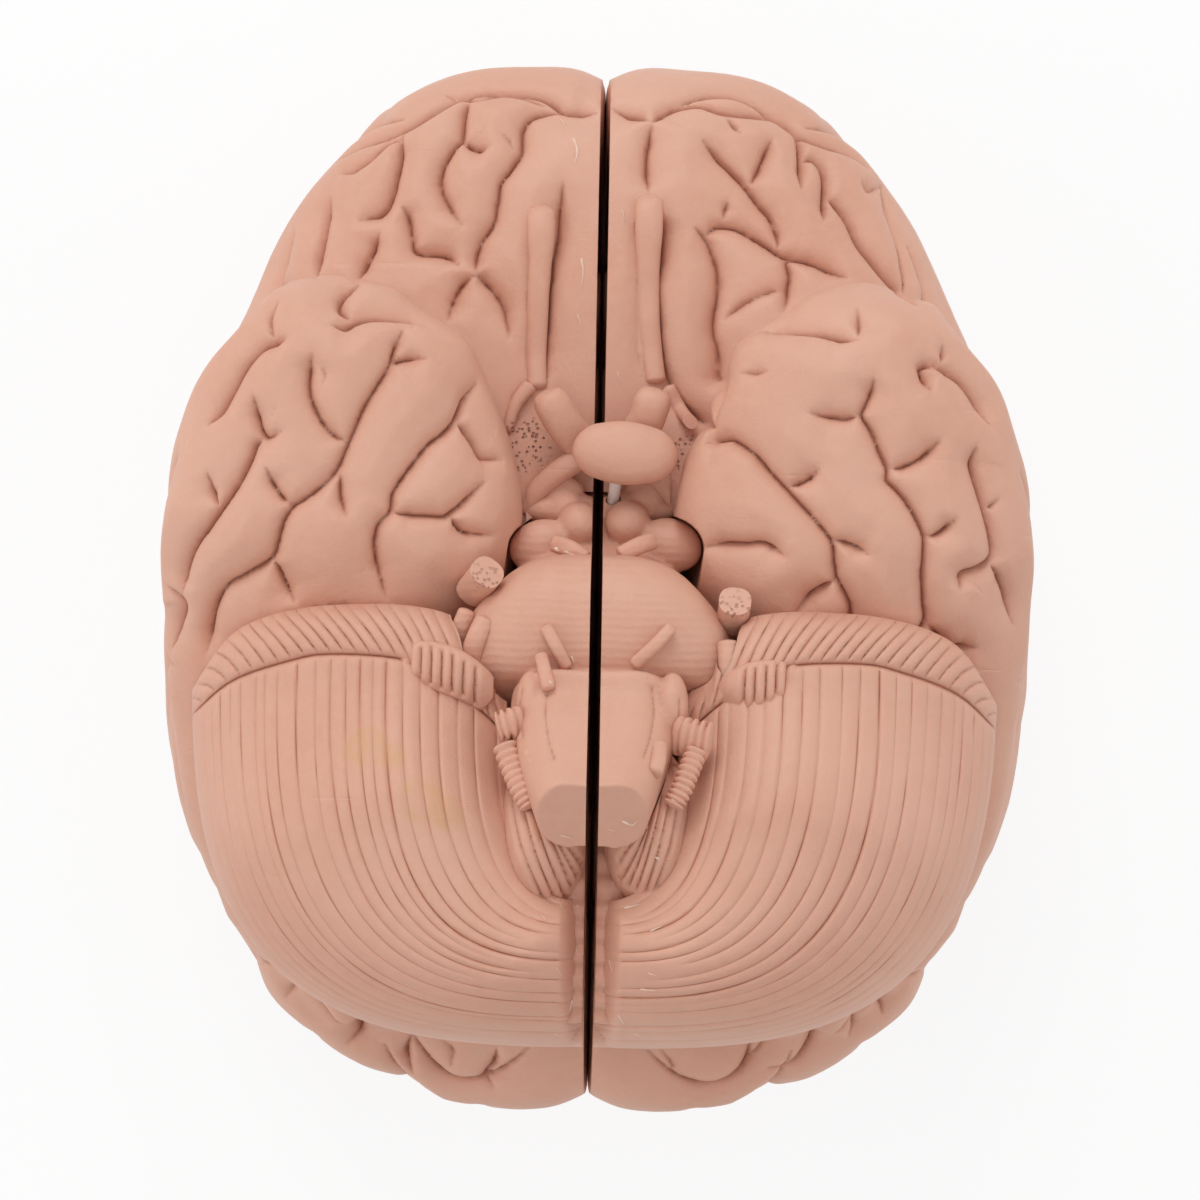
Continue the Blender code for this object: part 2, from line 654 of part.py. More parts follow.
# Parts on the base of the frontal lobe, as pixels with a lift off the skin or a height in drawn millimetres
def draped(points, skin):
    """Drawn points that lie their lift above the skin where it shows in the picture."""
    eye_x, eye_y = picture_level(*PICTURE_CENTRE)
    eye = place(eye_x, eye_y, VIEW_LEVEL)
    path = []
    for px, py, lift in points:
        way = place(*picture_point(px, py, WIDEST_LEVEL)) - eye
        hit = skin.ray_cast(eye, way.normalized())[0]
        level = hit.z / BRAIN_HEIGHT * DRAWN_SIZE[2] if hit else WIDEST_LEVEL
        path.append(picture_point(px, py, level + lift))
    return path


def base_strands(side, form):
    """Smell tract, optic nerve and optic tract of one half."""
    shape = bmesh.new()
    shape.from_mesh(form.data)
    skin = BVHTree.FromBMesh(shape)
    shape.free()
    if side == RIGHT:
        tract = [(541, 208, 0.2), (541, 228, 1.0), (540, 262, 0.9), (538, 290, 0.8), (537, 322, 0.8),
                 (536, 355, 0.8), (537, 386, 0.6)]
        root = [(530, 385, 0.4), (516, 406, 0.4), (507, 430, 0.2)]
        nerve = [(547, 388, 89), (553, 405, 89), (566, 425, 88.4), (584, 444, 87.5), (597, 452, 87)]
        optic = [(592, 455, 87), (566, 466, 87), (545, 480, 86), (530, 500, 84.5), (521, 516, 83)]
    else:
        tract = [(650, 198, 0.2), (649, 220, 1.0), (648, 262, 0.9), (648, 290, 0.8), (649, 322, 0.8),
                 (652, 352, 0.8), (656, 380, 0.6)]
        root = [(664, 392, 0.4), (682, 415, 0.4), (704, 433, 0.2)]
        nerve = [(656, 386, 89), (650, 405, 89), (640, 425, 88.4), (620, 446, 87.5), (603, 452, 87)]
        optic = [(610, 455, 87), (650, 470, 87), (666, 484, 86), (680, 504, 84.5), (690, 524, 83)]
    strands = []
    strands.append(strand("smell_tract", draped(tract, skin),
                          [(0, 2.2), (0.12, 4.6), (0.35, 3.2), (1, 2.6)], [(0, 2), (0.12, 4.2), (1, 3.4)]))
    strands.append(strand("smell_root", draped(root, skin), [(0, 2), (1, 1.6)],
                          [(0, 2.6), (1, 2.6)]))
    strands.append(strand("optic_nerve", [picture_point(*p) for p in nerve],
                          [(0, 5.6), (0.5, 6), (1, 7)], [(0, 5), (1, 5)]))
    strands.append(strand("optic_tract", [picture_point(*p) for p in optic], [(0, 4), (1, 3)],
                          [(0, 4.6), (1, 4)]))
    return strands


# Brainstem: rings of points seen along its length
def half_ring(side, wide, front, back, sides=6, square=0.8, past=TRIM):
    """Half of an oval across the middle: a flat inner side and a round outer side.

    front and back are drawn (y, z) points on the middle face.
    """
    points = []
    for k in range(sides + 1):
        angle = math.pi * k / sides
        reach = math.sin(angle) ** square * wide
        share = (1 - math.cos(angle)) / 2
        y = front[0] + (back[0] - front[0]) * share
        z = front[1] + (back[1] - front[1]) * share
        at = place(reach, y, z)
        at.x = side * (at.x + HALF_GAP / 2 if 0 < k < sides else -past)
        points.append(at)
    return points


def medulla_ring(side, wide, front, back):
    """Half of a faceted section: a flat front, a bevelled corner and a round back."""
    points = []
    for reach, share in ((0, 0), (0.58, 0.0), (0.94, 0.24), (1.0, 0.55), (0.86, 0.84), (0.5, 1.0), (0, 1)):
        y = front[0] + (back[0] - front[0]) * share
        z = front[1] + (back[1] - front[1]) * share
        at = place(reach * wide, y, z)
        at.x = side * (at.x + HALF_GAP / 2 if reach else -TRIM)
        points.append(at)
    return points


def brainstem(side):
    """Thalamus, midbrain, pons and medulla of one half, with its nerve stumps.

    Gives the casting and the convex blocks that together hold it.
    """
    name = "brainstem_right" if side == RIGHT else "brainstem_left"
    rings = [
        half_ring(side, 9.5, (13, 50), (-14, 54)),
        half_ring(side, 11.5, (15.5, 60), (-19, 60)),
        half_ring(side, 11.5, (15.5, 70), (-18, 70)),
        half_ring(side, 11, (15.5, 80), (-16, 78)),
        half_ring(side, 11, (13, 87), (-14, 84)),
        half_ring(side, 13, (8.5, 88.5), (-13, 92)),
        half_ring(side, 14.5, (5, 96), (-14, 96)),
        half_ring(side, 13, (3, 104), (-20, 96)),
        medulla_ring(side, 12.0, (-8, 111), (-21, 98)),
        medulla_ring(side, 12.0, (-17, 116.5), (-26, 104)),
        medulla_ring(side, 10.6, (-24, 124), (-33, 114)),
        medulla_ring(side, 7.6, (-31, 132), (-41, 124)),
    ]
    column = loft(name, rings)
    pons = loft("pons", [
        half_ring(side, 14, (5.5, 98), (-12, 86), 8, 0.7, 2 * TRIM),
        half_ring(side, 17, (4.6, 106), (-16, 88), 8, 0.7, 2 * TRIM),
        half_ring(side, 20.5, (0, 111), (-18, 90), 8, 0.7, 2 * TRIM),
        half_ring(side, 21.5, (-7, 112.5), (-20, 94), 8, 0.7, 2 * TRIM),
        half_ring(side, 19, (-13, 111.5), (-21, 98), 8, 0.7, 2 * TRIM),
        half_ring(side, 12, (-15, 108), (-21, 101), 8, 0.7, 2 * TRIM),
    ])
    parts = [pons]
    if side == RIGHT:
        nipple = picture_point(579.5, 524, 88.5)
        fifth = [(490, 590, 102), (480, 575, 107)]
        third = [(556, 545, 95), (570, 550, 97.5), (586, 560, 99)]
        sixth = [(545, 626, 113), (556, 646, 113.6), (568, 668, 112)]
        seventh = [(484, 618, 108.5), (472, 645, 109), (463, 690, 104)]
        eighth = [(466, 610, 106), (458, 635, 105), (456, 662, 103)]
        tenth = [(528, 722, 113), (512, 724, 115), (496, 728, 114)]
        eleventh = [(506, 748, 115), (514, 770, 118), (522, 790, 121), (530, 806, 122)]
        twelfth = [(532, 752, 121), (540, 768, 124), (546, 784, 126)]
        olive = picture_point(533, 706, 113)
    else:
        nipple = picture_point(627.5, 522.5, 88.5)
        fifth = [(722, 620, 102), (733, 605, 107)]
        third = [(648, 542, 95), (636, 547, 97.5), (620, 557, 99)]
        sixth = [(670, 626, 113), (653, 646, 113.6), (636, 666, 112)]
        seventh = [(726, 642, 108.5), (727, 675, 109), (728, 714, 104)]
        eighth = [(731, 638, 104), (745, 650, 104), (745, 664, 102)]
        tenth = [(680, 738, 113), (698, 740, 115), (712, 741, 114)]
        eleventh = [(694, 750, 115), (686, 770, 118), (680, 790, 121), (673, 806, 122)]
        twelfth = [(656, 746, 121), (654, 760, 124), (652, 774, 126)]
        olive = picture_point(672, 706, 113)
    parts.append(ellipsoid("mammillary_body", nipple, (3.4, 3.4, 3.6), segments=8, rings=6))
    parts.append(ellipsoid("olive", olive, (2.6, 5.4, 3.6), segments=8, rings=5))
    blocks = {"midbrain": [loft("midbrain", rings[:8])], "pons": [copy_of(pons)],
              "medulla": [loft("medulla", rings[7:]), copy_of(parts[-1])], "trigeminal": [], "facial": [],
              "vagus": []}
    strands = [("trigeminal_nerve", fifth, 5.2, 4.6, "trigeminal"),
               ("oculomotor_nerve", third, 2.0, 2.4, "pons"), ("abducens_nerve", sixth, 2.0, 2.2, "pons"),
               ("facial_nerve", seventh, 3.6, 3.0, "facial"), ("hearing_nerve", eighth, 3.0, 2.4, "facial"),
               ("vagus_nerve", tenth, 5.2, 2.6, "vagus"), ("accessory_nerve", eleventh, 3.8, 2.6, "vagus"),
               ("tongue_nerve", twelfth, 2.8, 2.6, "medulla")]
    for label, points, wide, tall, block in strands:
        parts.append(strand(label, [picture_point(*p) for p in points], [(0, wide), (1, wide)],
                            [(0, tall), (1, tall)]))
        blocks[block].append(copy_of(parts[-1]))
    column.name = name
    return trim_middle(join(column, parts), side), list(blocks.values())


# Cerebellum: arcs round a point on the middle line, inner arc to outer arc
ARC_CENTRE_Y = -8.4
ARC_WIDTHS = (14.0, 65.2)
ARC_LENGTHS = (41.5, 66.0)
ARC_SQUARENESS = 3.1
FISSURE = [(14, -24), (17, -21), (21.7, -17), (27, -13.8), (32, -11.8), (42, -11.4), (48, -12.4), (58, -16),
           (65.2, -22)]
FRONT_EDGE = [(14, -17), (18, -9), (21.6, -5), (28, -3.4), (36, -3.4), (43, -4), (51, -5.8), (58, -9.4),
              (65.2, -18)]
EDGE_LEVEL = 94.0
CROWN_LEVEL = 123.0
UNDERSIDE = [(0, 80), (0.4, 80), (0.75, 85), (1, 93)]
UNDER_STEPS = (1.0, 0.8, 0.5, 0.2, 0.0)
STRIP_STEPS = (1.0, 0.6, 0.16)
LEAF_STEPS = (0.0, 0.03, 0.25, 0.42, 0.54, 0.66, 0.8, 0.945, 1.0)
STRIP_SLANT = 3.0
FISSURE_DEPTH = 1.5
MIDDLE_ROUND = 4.5


def arc_point(share, turn):
    """Drawn x and y on the arc that lies a share of the way out, at an angle from the side."""
    wide = ARC_WIDTHS[0] + (ARC_WIDTHS[1] - ARC_WIDTHS[0]) * share
    long = ARC_LENGTHS[0] + (ARC_LENGTHS[1] - ARC_LENGTHS[0]) * share
    power = ARC_SQUARENESS
    size = (abs(math.cos(turn)) ** power + abs(math.sin(turn)) ** power) ** (1 / power)
    return wide * math.cos(turn) / size, ARC_CENTRE_Y - long * math.sin(turn) / size


def dome_level(share, along):
    """Height of the underside of the cerebellum as it lies here, which faces up."""
    if share > 0.3:
        dome = math.sqrt(max(0.0, 1 - ((share - 0.3) / 0.7) ** 2)) ** 0.9
    else:
        dome = 1 - 0.2 * ((0.3 - share) / 0.3) ** 2
    fall = between([(0, 0.66), (0.3, 1.0), (0.75, 1.0), (1, 0.84)], along)
    return EDGE_LEVEL + (CROWN_LEVEL - EDGE_LEVEL) * dome * fall


def cerebellum_hemisphere(side, name):
    """Rows of points that run across the leaves, from the front edge to the middle face."""
    columns = [k / (2 * FOLIA_COUNT) for k in range(2 * FOLIA_COUNT + 1)]
    rings = []
    for strip, along in [(step, 0.0) for step in STRIP_STEPS] + [(0.0, step) for step in LEAF_STEPS]:
        ring = []
        for k, share in enumerate(columns):
            groove = FOLIA_DEPTH / MM if k % 2 == 0 and 0 < share < 1 else 0.0
            ring.append((share, 1, groove))
        for share in UNDER_STEPS:
            ring.append((share, 0, 0.0))
        points = []
        for share, on_top, groove in ring:
            wide = ARC_WIDTHS[0] + (ARC_WIDTHS[1] - ARC_WIDTHS[0]) * share
            start = math.atan2(ARC_CENTRE_Y - between(FISSURE, wide), ARC_LENGTHS[0])
            end = math.acos(-TRIM / MM / wide)
            x, y = arc_point(share, start + (end - start) * along)
            low = between(UNDERSIDE, share)
            high = dome_level(share, along)
            if strip or not along:
                y = between(FISSURE, wide) + (between(FRONT_EDGE, wide) - between(FISSURE, wide)) * strip
                x = wide + STRIP_SLANT * math.sin(math.pi * share) * strip
                middle = 0.8 * high + 0.2 * low
                high = high + (middle - high) * strip ** 2 - (0 if strip else FISSURE_DEPTH)
                low = low + (middle - 0.4 - low) * strip
            inward = 1 - min(1.0, max(0.0, x) / MIDDLE_ROUND)
            high -= MIDDLE_ROUND * (1 - math.sqrt(1 - inward ** 2))
            level = high - groove * (0.6 if strip == 1 else 1) if on_top else low
            points.append(place(side * x, y, level))
        rings.append(points)
    return loft(name, rings)


def cerebellum(side):
    """Half of the cerebellum: leaves, tonsil, core and flocculus."""
    name = "cerebellum_right" if side == RIGHT else "cerebellum_left"
    form = cerebellum_hemisphere(side, name)
    core_ring = []
    for x, z in ((0, 80), (12, 79), (22, 84), (22, 96), (14, 104), (5, 106), (0, 106)):
        core_ring.append((x, z))
    rings = []
    for y, size in ((-17, 0.7), (-24, 1.0), (-44, 1.0), (-62, 0.8)):
        ring = []
        for x, z in core_ring:
            at = place(x * size, y, 90 + (z - 90) * size)
            at.x = side * (at.x if x > 0 else -TRIM)
            ring.append(at)
        rings.append(ring)
    core = loft("core", rings)
    if side == RIGHT:
        tonsil = picture_point(541, 836, 111)
        flocculus = [(404, 664, 104), (430, 668, 105), (458, 680, 104)]
    else:
        tonsil = picture_point(651, 830, 111)
        flocculus = [(796, 682, 104), (770, 686, 105), (742, 690, 104)]
    lobe = ellipsoid("tonsil", tonsil, (6.3, 11.8, 12.5), segments=10, rings=7)
    tuft = strand("flocculus", [picture_point(*p) for p in flocculus], [(0, 3), (0.5, 6), (1, 5)],
                  [(0, 4), (1, 5)], steps=2)
    return trim_middle(join(form, [core, lobe, tuft]), side)


# Pituitary gland on its pin
PITUITARY_PLACE = picture_point(625, 453, 95.6)
PIN_TOP = (2.9, 18.0, 93.0)
PIN_WAY = Vector((-0.06, -0.5, -0.86)).normalized()


def pituitary():
    centre = place(*PITUITARY_PLACE)
    shape = bmesh.new()
    bmesh.ops.create_uvsphere(shape, u_segments=12, v_segments=7, radius=0.5)
    turn = Matrix.Rotation(math.radians(-4), 3, "Z")
    for vertex in shape.verts:
        round_end = abs(vertex.co.x * 2) ** 0.9
        local = Vector((math.copysign(round_end, vertex.co.x) / 2 * PITUITARY_WIDTH,
                        vertex.co.y * PITUITARY_LENGTH, vertex.co.z * PITUITARY_THICKNESS))
        vertex.co = centre + turn @ local
    form = new_object("pituitary_gland", [], [])
    shape.to_mesh(form.data)
    shape.free()
    return form


# Pegs: (name, middle, direction, diameter, length)
def peg_list():
    pegs = []
    x = Vector((1, 0, 0))
    z = Vector((0, 0, 1))
    for label, spot in (("front", (0, 26, 15)), ("back", (0, -24, 15))):
        pegs.append(("hemisphere_peg_" + label, place(*spot), x, HEMISPHERE_PEG_DIAMETER,
                     HEMISPHERE_PEG_LENGTH))
    for side, word in ((RIGHT, "right"), (LEFT, "left")):
        for label, spot in (("front", (OUTER_SPLIT_START, 14, 78)), ("back", (OUTER_SPLIT_START, -10, 68))):
            middle = place(side * spot[0], spot[1], spot[2])
            pegs.append(("side_peg_%s_%s" % (word, label), middle, x, SIDE_PEG_DIAMETER, SIDE_PEG_LENGTH))
        pegs.append(("brainstem_peg_" + word, place(side * 5.5, -1, 51), z, STEM_PEG_DIAMETER,
                     STEM_PEG_LENGTH))
        pegs.append(("cerebellum_peg_" + word, place(side * 6.5, -16.5, 91), CEREBELLUM_PULL,
                     CEREBELLUM_PEG_DIAMETER, CEREBELLUM_PEG_LENGTH))
    return pegs


def peg_rod(peg, clearance=0.0, chamfer=0.0):
    name, middle, way, diameter, length = peg
    half = way.normalized() * (length / 2 + clearance)
    return rod(name, middle - half, middle + half, diameter + 2 * clearance, chamfer=chamfer)


# Finishes
def finish(form, name, colour, roughness):
    material = bpy.data.materials.new(name)
    material.use_nodes = True
    shader = material.node_tree.nodes["Principled BSDF"]
    shader.inputs["Base Color"].default_value = (*colour, 1)
    shader.inputs["Roughness"].default_value = roughness
    shader.inputs["Metallic"].default_value = 0.0
    form.data.materials.clear()
    form.data.materials.append(material)
    form.data.shade_smooth()
    form.data.set_sharp_from_angle(angle=math.radians(50))


FLESH = (0.66, 0.37, 0.28)
WHITE = (0.80, 0.80, 0.78)


def build():
    for old in list(bpy.data.objects):
        bpy.data.objects.remove(old)
    pegs = {peg[0]: peg for peg in peg_list()}
    gland = pituitary()
    pin_top = place(*PIN_TOP)
    pin_end = pin_top + PIN_WAY * PIN_LENGTH
    pin = rod("pituitary_pin", pin_top, pin_end, PIN_DIAMETER)
    clear = PIN_WAY * PEG_CLEARANCE
    cut(gland, [rod("pin_hole", pin_top - clear, pin_end, PIN_DIAMETER + 2 * PEG_CLEARANCE)])
    solids = [(gland, FLESH, 0.45), (pin, WHITE, 0.3)]

    for side, word in ((RIGHT, "right"), (LEFT, "left")):
        stem, blocks = brainstem(side)
        lobe = cerebellum(side)
        pull = CEREBELLUM_PULL * CEREBELLUM_TRAVEL
        up = Vector((0, 0, STEM_TRAVEL))
        out = Vector((side * LOBE_TRAVEL, 0, 0))
        cut(lobe, [swept_hull("stem_way", block, SEAT_GAP, [-pull]) for block in blocks])
        keep_main_body(lobe)

        half = folded_half(side)
        front = copy_of(half)
        front.name = "frontal_parietal_" + word
        half.name = "temporal_occipital_" + word
        trim_middle(join(front, base_strands(side, half)), side)
        cut(front, [swept_hull("stem_well", block, SEAT_GAP, [up]) for block in blocks])
        cut(front, [split_block(side, SPLIT_GAP / 2),
                    swept_hull("lobe_room", [lobe], SEAT_GAP, [up, pull])])
        keep_main_body(front)
        combine(half, split_block(side, -SPLIT_GAP / 2), "INTERSECT")
        trim_middle(half, side)
        cut(half, [swept_hull("stem_room", block, SEAT_GAP, [up, -out]) for block in blocks])
        cut(half, [swept_hull("lobe_way", [lobe], SEAT_GAP, [up, pull, -out])])
        keep_main_body(half)
        for block in blocks:
            for form in block:
                remove(form)

        for label in ("front", "back"):
            cut(front, [peg_rod(pegs["hemisphere_peg_" + label], PEG_CLEARANCE),
                        peg_rod(pegs["side_peg_%s_%s" % (word, label)], PEG_CLEARANCE)])
            cut(half, [peg_rod(pegs["side_peg_%s_%s" % (word, label)], PEG_CLEARANCE)])
        stem_peg = pegs["brainstem_peg_" + word]
        cut(front, [peg_rod(stem_peg, PEG_CLEARANCE)])
        cut(stem, [peg_rod(stem_peg, PEG_CLEARANCE),
                   peg_rod(pegs["cerebellum_peg_" + word], PEG_CLEARANCE)])
        cut(lobe, [peg_rod(pegs["cerebellum_peg_" + word], PEG_CLEARANCE)])
        if side == LEFT:
            cut(stem, [rod("pin_hole", pin_top, pin_end + clear, PIN_DIAMETER + 2 * PEG_CLEARANCE)])
        for form in (front, half, stem, lobe):
            solids.append((keep_main_body(form), FLESH, 0.45))

    for peg in pegs.values():
        solids.append((peg_rod(peg), WHITE, 0.3))
    for form, colour, roughness in solids:
        finish(form, form.name + "_finish", colour, roughness)


build()
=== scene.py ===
"""Looks of the brain anatomy model: soft flesh vinyl castings on white dowel pegs, lying base up.

+Z is up, +Y is the front of the brain and +X its left side, so the left of the picture is its right side.
Forms are drawn in millimetres, as in the CAD model, and each casting rides on the body of its own name.
"""

import json
import math

import bmesh
import bpy
import numpy as np
from mathutils import Matrix, Vector
from mathutils.bvhtree import BVHTree
from mathutils.noise import noise


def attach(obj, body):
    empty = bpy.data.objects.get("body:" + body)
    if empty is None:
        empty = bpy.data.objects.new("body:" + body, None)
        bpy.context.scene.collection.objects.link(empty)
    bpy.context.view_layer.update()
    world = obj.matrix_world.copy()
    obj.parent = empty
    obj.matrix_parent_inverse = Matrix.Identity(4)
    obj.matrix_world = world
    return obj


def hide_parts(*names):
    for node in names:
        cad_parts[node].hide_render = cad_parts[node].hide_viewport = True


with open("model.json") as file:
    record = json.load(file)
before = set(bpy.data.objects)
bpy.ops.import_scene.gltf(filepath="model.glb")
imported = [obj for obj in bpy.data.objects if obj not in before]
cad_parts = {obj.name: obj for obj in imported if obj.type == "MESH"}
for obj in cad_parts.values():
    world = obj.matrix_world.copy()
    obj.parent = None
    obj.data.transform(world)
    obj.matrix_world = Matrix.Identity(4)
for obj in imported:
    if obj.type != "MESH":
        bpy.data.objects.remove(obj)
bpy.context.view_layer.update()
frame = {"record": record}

MM = 0.001
RIGHT = -1
LEFT = 1
WORDS = {RIGHT: "right", LEFT: "left"}

# Half the slit between the halves, as (half width, height) in drawn millimetres. They touch low down.
SLIT = [(0.0, -200), (0.0, 44), (0.8, 66), (1.25, 200)]
# Flat middle faces: how near the middle they lie, and from which height on folds cut into them
MIDDLE_REACH = 3 * MM
CLOSED_HEIGHT = 24.0 * MM
CLOSED_RAMP = 10 * MM
# Gaps between the castings, and how far a cut reaches past what it cuts
STEM_INSET = 1.15 * MM
SPLIT_GAP = 0.6 * MM
SEAT_GAP = 0.25 * MM
SHELL_LIMIT = 1.8
TRIM = 1.5 * MM
FAR = 0.2

# Fineness of the forms
FORM_VOXEL = 0.5 * MM
STEM_VOXEL = 0.38 * MM
HALF_FACES = 270000
STEM_FACES = 80000

# Folds of the cerebrum, and the lines between the leaves in drawn millimetres
SULCUS_DEPTH = 2.7 * MM
SULCUS_SHOULDER = 3.2 * MM
SWELL_DEPTH = 1.2 * MM
SWELL_REACH = 8.0 * MM
RIPPLE_SIZE = 14 * MM
RIPPLE_DEPTH = 0.45
CREASE_PULL = 0.55 * FORM_VOXEL
LINE_DEPTH = 0.5
LINE_REACH = 0.85
LINE_WAIST = 0.2

# The reference picture: its width, its middle and the brain's middle in pixels, its tilt, and its pixels to a
# drawn millimetre at the widest level. The eye is at the view level.
PICTURE_WIDTH = 1200
PICTURE_CENTRE = (600.0, 600.0)
PICTURE_MIDLINE = (596.5, 588.0)
PICTURE_TILT = math.radians(1.07)
PICTURE_SCALE = 5.94
WIDEST_LEVEL = 50.0
VIEW_LEVEL = 1200.0
SENSOR_WIDTH = 36


# Placing drawn points
def place(x, y, z):
    return Vector((x, y, z)) * MM


def picture_level(px, py):
    """Drawn x and y of a picture point at the widest level."""
    across = (px - PICTURE_MIDLINE[0]) / PICTURE_SCALE
    along = (PICTURE_MIDLINE[1] - py) / PICTURE_SCALE
    return (across * math.cos(PICTURE_TILT) - along * math.sin(PICTURE_TILT),
            across * math.sin(PICTURE_TILT) + along * math.cos(PICTURE_TILT))


def picture_point(px, py, z):
    """Drawn point that shows at a picture point and lies at height z."""
    eye_x, eye_y = picture_level(*PICTURE_CENTRE)
    x, y = picture_level(px, py)
    reach = (VIEW_LEVEL - z) / (VIEW_LEVEL - WIDEST_LEVEL)
    return (eye_x + (x - eye_x) * reach, eye_y + (y - eye_y) * reach, z)


def picture_eye():
    """Place from which the picture is taken."""
    return place(*picture_level(*PICTURE_CENTRE), VIEW_LEVEL)


def picture_hit(px, py, skin):
    """Point of a skin that shows at a picture point, or None."""
    eye = picture_eye()
    way = place(*picture_point(px, py, WIDEST_LEVEL)) - eye
    return skin.ray_cast(eye, way.normalized())[0]


def smooth_path(points, steps):
    """Catmull-Rom curve through the points, with so many steps to each span."""
    knots = [Vector(p) for p in points]
    ends = [knots[0] * 2 - knots[1]] + knots + [knots[-1] * 2 - knots[-2]]
    path = []
    for a, b, c, d in zip(ends, ends[1:], ends[2:], ends[3:]):
        for i in range(steps):
            t = i / steps
            path.append((b * 2 + (c - a) * t + (a * 2 - b * 5 + c * 4 - d) * t ** 2
                         + (b * 3 - a - c * 3 + d) * t ** 3) / 2)
    path.append(knots[-1])
    return path


def along_line(points, at):
    """Height at a place on the smooth curve through (place, height) points."""
    path = smooth_path([(place_in, height, 0) for place_in, height in points], 8)
    return float(np.interp(at, [spot.x for spot in path], [spot.y for spot in path]))


def eased(share):
    """A share that starts and ends gently."""
    return share * share * (3 - 2 * share)


def rounded(inward, power=2):
    """Depth of a groove with rounded shoulders, from 0 at its rim to 1 along its middle."""
    return 1 - np.sqrt(np.maximum(0.0, 1 - inward ** power))


def between(pairs, at):
    """Value at a place on a line through (place, value) pairs that run upwards."""
    if at <= pairs[0][0]:
        return pairs[0][1]
    for (low, first), (high, last) in zip(pairs, pairs[1:]):
        if at <= high:
            return first + (last - first) * eased((at - low) / (high - low))
    return pairs[-1][1]


# Making and joining solids
def new_object(name, vertices, faces):
    mesh = bpy.data.meshes.new(name)
    mesh.from_pydata(vertices, [], faces)
    form = bpy.data.objects.new(name, mesh)
    bpy.context.scene.collection.objects.link(form)
    shape = bmesh.new()
    shape.from_mesh(mesh)
    bmesh.ops.recalc_face_normals(shape, faces=shape.faces)
    shape.to_mesh(mesh)
    shape.free()
    return form


def remove(form):
    mesh = form.data
    bpy.data.objects.remove(form)
    bpy.data.meshes.remove(mesh)


def apply_modifier(form, kind, **values):
    """Adds one modifier and makes its result the mesh."""
    modifier = form.modifiers.new(kind.title(), kind)
    for key, value in values.items():
        setattr(modifier, key, value)
    graph = bpy.context.evaluated_depsgraph_get()
    mesh = bpy.data.meshes.new_from_object(form.evaluated_get(graph))
    old = form.data
    form.modifiers.clear()
    form.data = mesh
    bpy.data.meshes.remove(old)
    return form


def is_sound(form):
    """Whether every edge of a mesh has two faces and the mesh holds some volume."""
    shape = bmesh.new()
    shape.from_mesh(form.data)
    closed = all(len(edge.link_faces) == 2 for edge in shape.edges)
    volume = shape.calc_volume()
    shape.free()
    return closed and volume > MM ** 3


def combine(form, other, operation):
    """Boolean of two solids. The second one is used up."""
    before = form.data.copy()
    apply_modifier(form, "BOOLEAN", object=other, operation=operation, solver="MANIFOLD")
    if not is_sound(form):
        form.data = before
        apply_modifier(form, "BOOLEAN", object=other, operation=operation, solver="EXACT")
    remove(other)
    return form


def join(form, others):
    for other in others:
        combine(form, other, "UNION")
    return form


def cut(form, cutters):
    for cutter in cutters:
        combine(form, cutter, "DIFFERENCE")
    return form


def merge(form, others):
    """Puts the meshes of other forms into one, to be fused by a remesh."""
    shape = bmesh.new()
    for part in [form] + others:
        shape.from_mesh(part.data)
    shape.to_mesh(form.data)
    shape.free()
    for other in others:
        remove(other)
    return form


def trim_middle(form, side):
    """Cuts a casting flat along the slit between the two halves."""
    profile = [(x * MM, z * MM) for x, z in SLIT] + [(-FAR, FAR), (-FAR, -FAR)]
    rings = [[Vector((side * x, y, z)) for x, z in profile] for y in (-FAR, FAR)]
    return combine(form, loft("middle_block", rings), "DIFFERENCE")


def copy_of(form):
    twin = bpy.data.objects.new(form.name + "_copy", form.data.copy())
    bpy.context.scene.collection.objects.link(twin)
    return twin


def keep_main_body(form):
    """Deletes the crumbs that a cut can leave beside the main body."""
    shape = bmesh.new()
    shape.from_mesh(form.data)
    left = set(shape.verts)
    bodies = []
    while left:
        body = {left.pop()}
        edge = list(body)
        while edge:
            vertex = edge.pop()
            for link in vertex.link_edges:
                other = link.other_vert(vertex)
                if other in left:
                    left.remove(other)
                    body.add(other)
                    edge.append(other)
        bodies.append(body)
    main = max(bodies, key=len)
    crumbs = [v for body in bodies if body is not main for v in body]
    bmesh.ops.delete(shape, geom=crumbs, context="VERTS")
    shape.to_mesh(form.data)
    shape.free()
    return form


def loft(name, rings):
    """Closed skin over rings of as many points each, with a flat face on both ends."""
    count = len(rings[0])
    vertices = [point for ring in rings for point in ring]
    faces = []
    for row in range(len(rings) - 1):
        for i in range(count):
            j = (i + 1) % count
            faces.append((row * count + i, row * count + j,
                          (row + 1) * count + j, (row + 1) * count + i))
    faces.append(tuple(range(count)))
    faces.append(tuple(range((len(rings) - 1) * count, len(rings) * count)))
    return new_object(name, vertices, faces)


def ellipsoid(name, centre, radii, turn=0.0, segments=40, rings=24):
    """Ellipsoid at a drawn centre. turn is about Z."""
    shape = bmesh.new()
    bmesh.ops.create_uvsphere(shape, u_segments=segments, v_segments=rings, radius=1.0)
    rotation = Matrix.Rotation(turn, 3, "Z")
    for vertex in shape.verts:
        local = Vector([vertex.co[i] * radii[i] for i in range(3)])
        vertex.co = place(*(Vector(centre) + rotation @ local))
    form = new_object(name, [], [])
    shape.to_mesh(form.data)
    shape.free()
    return form


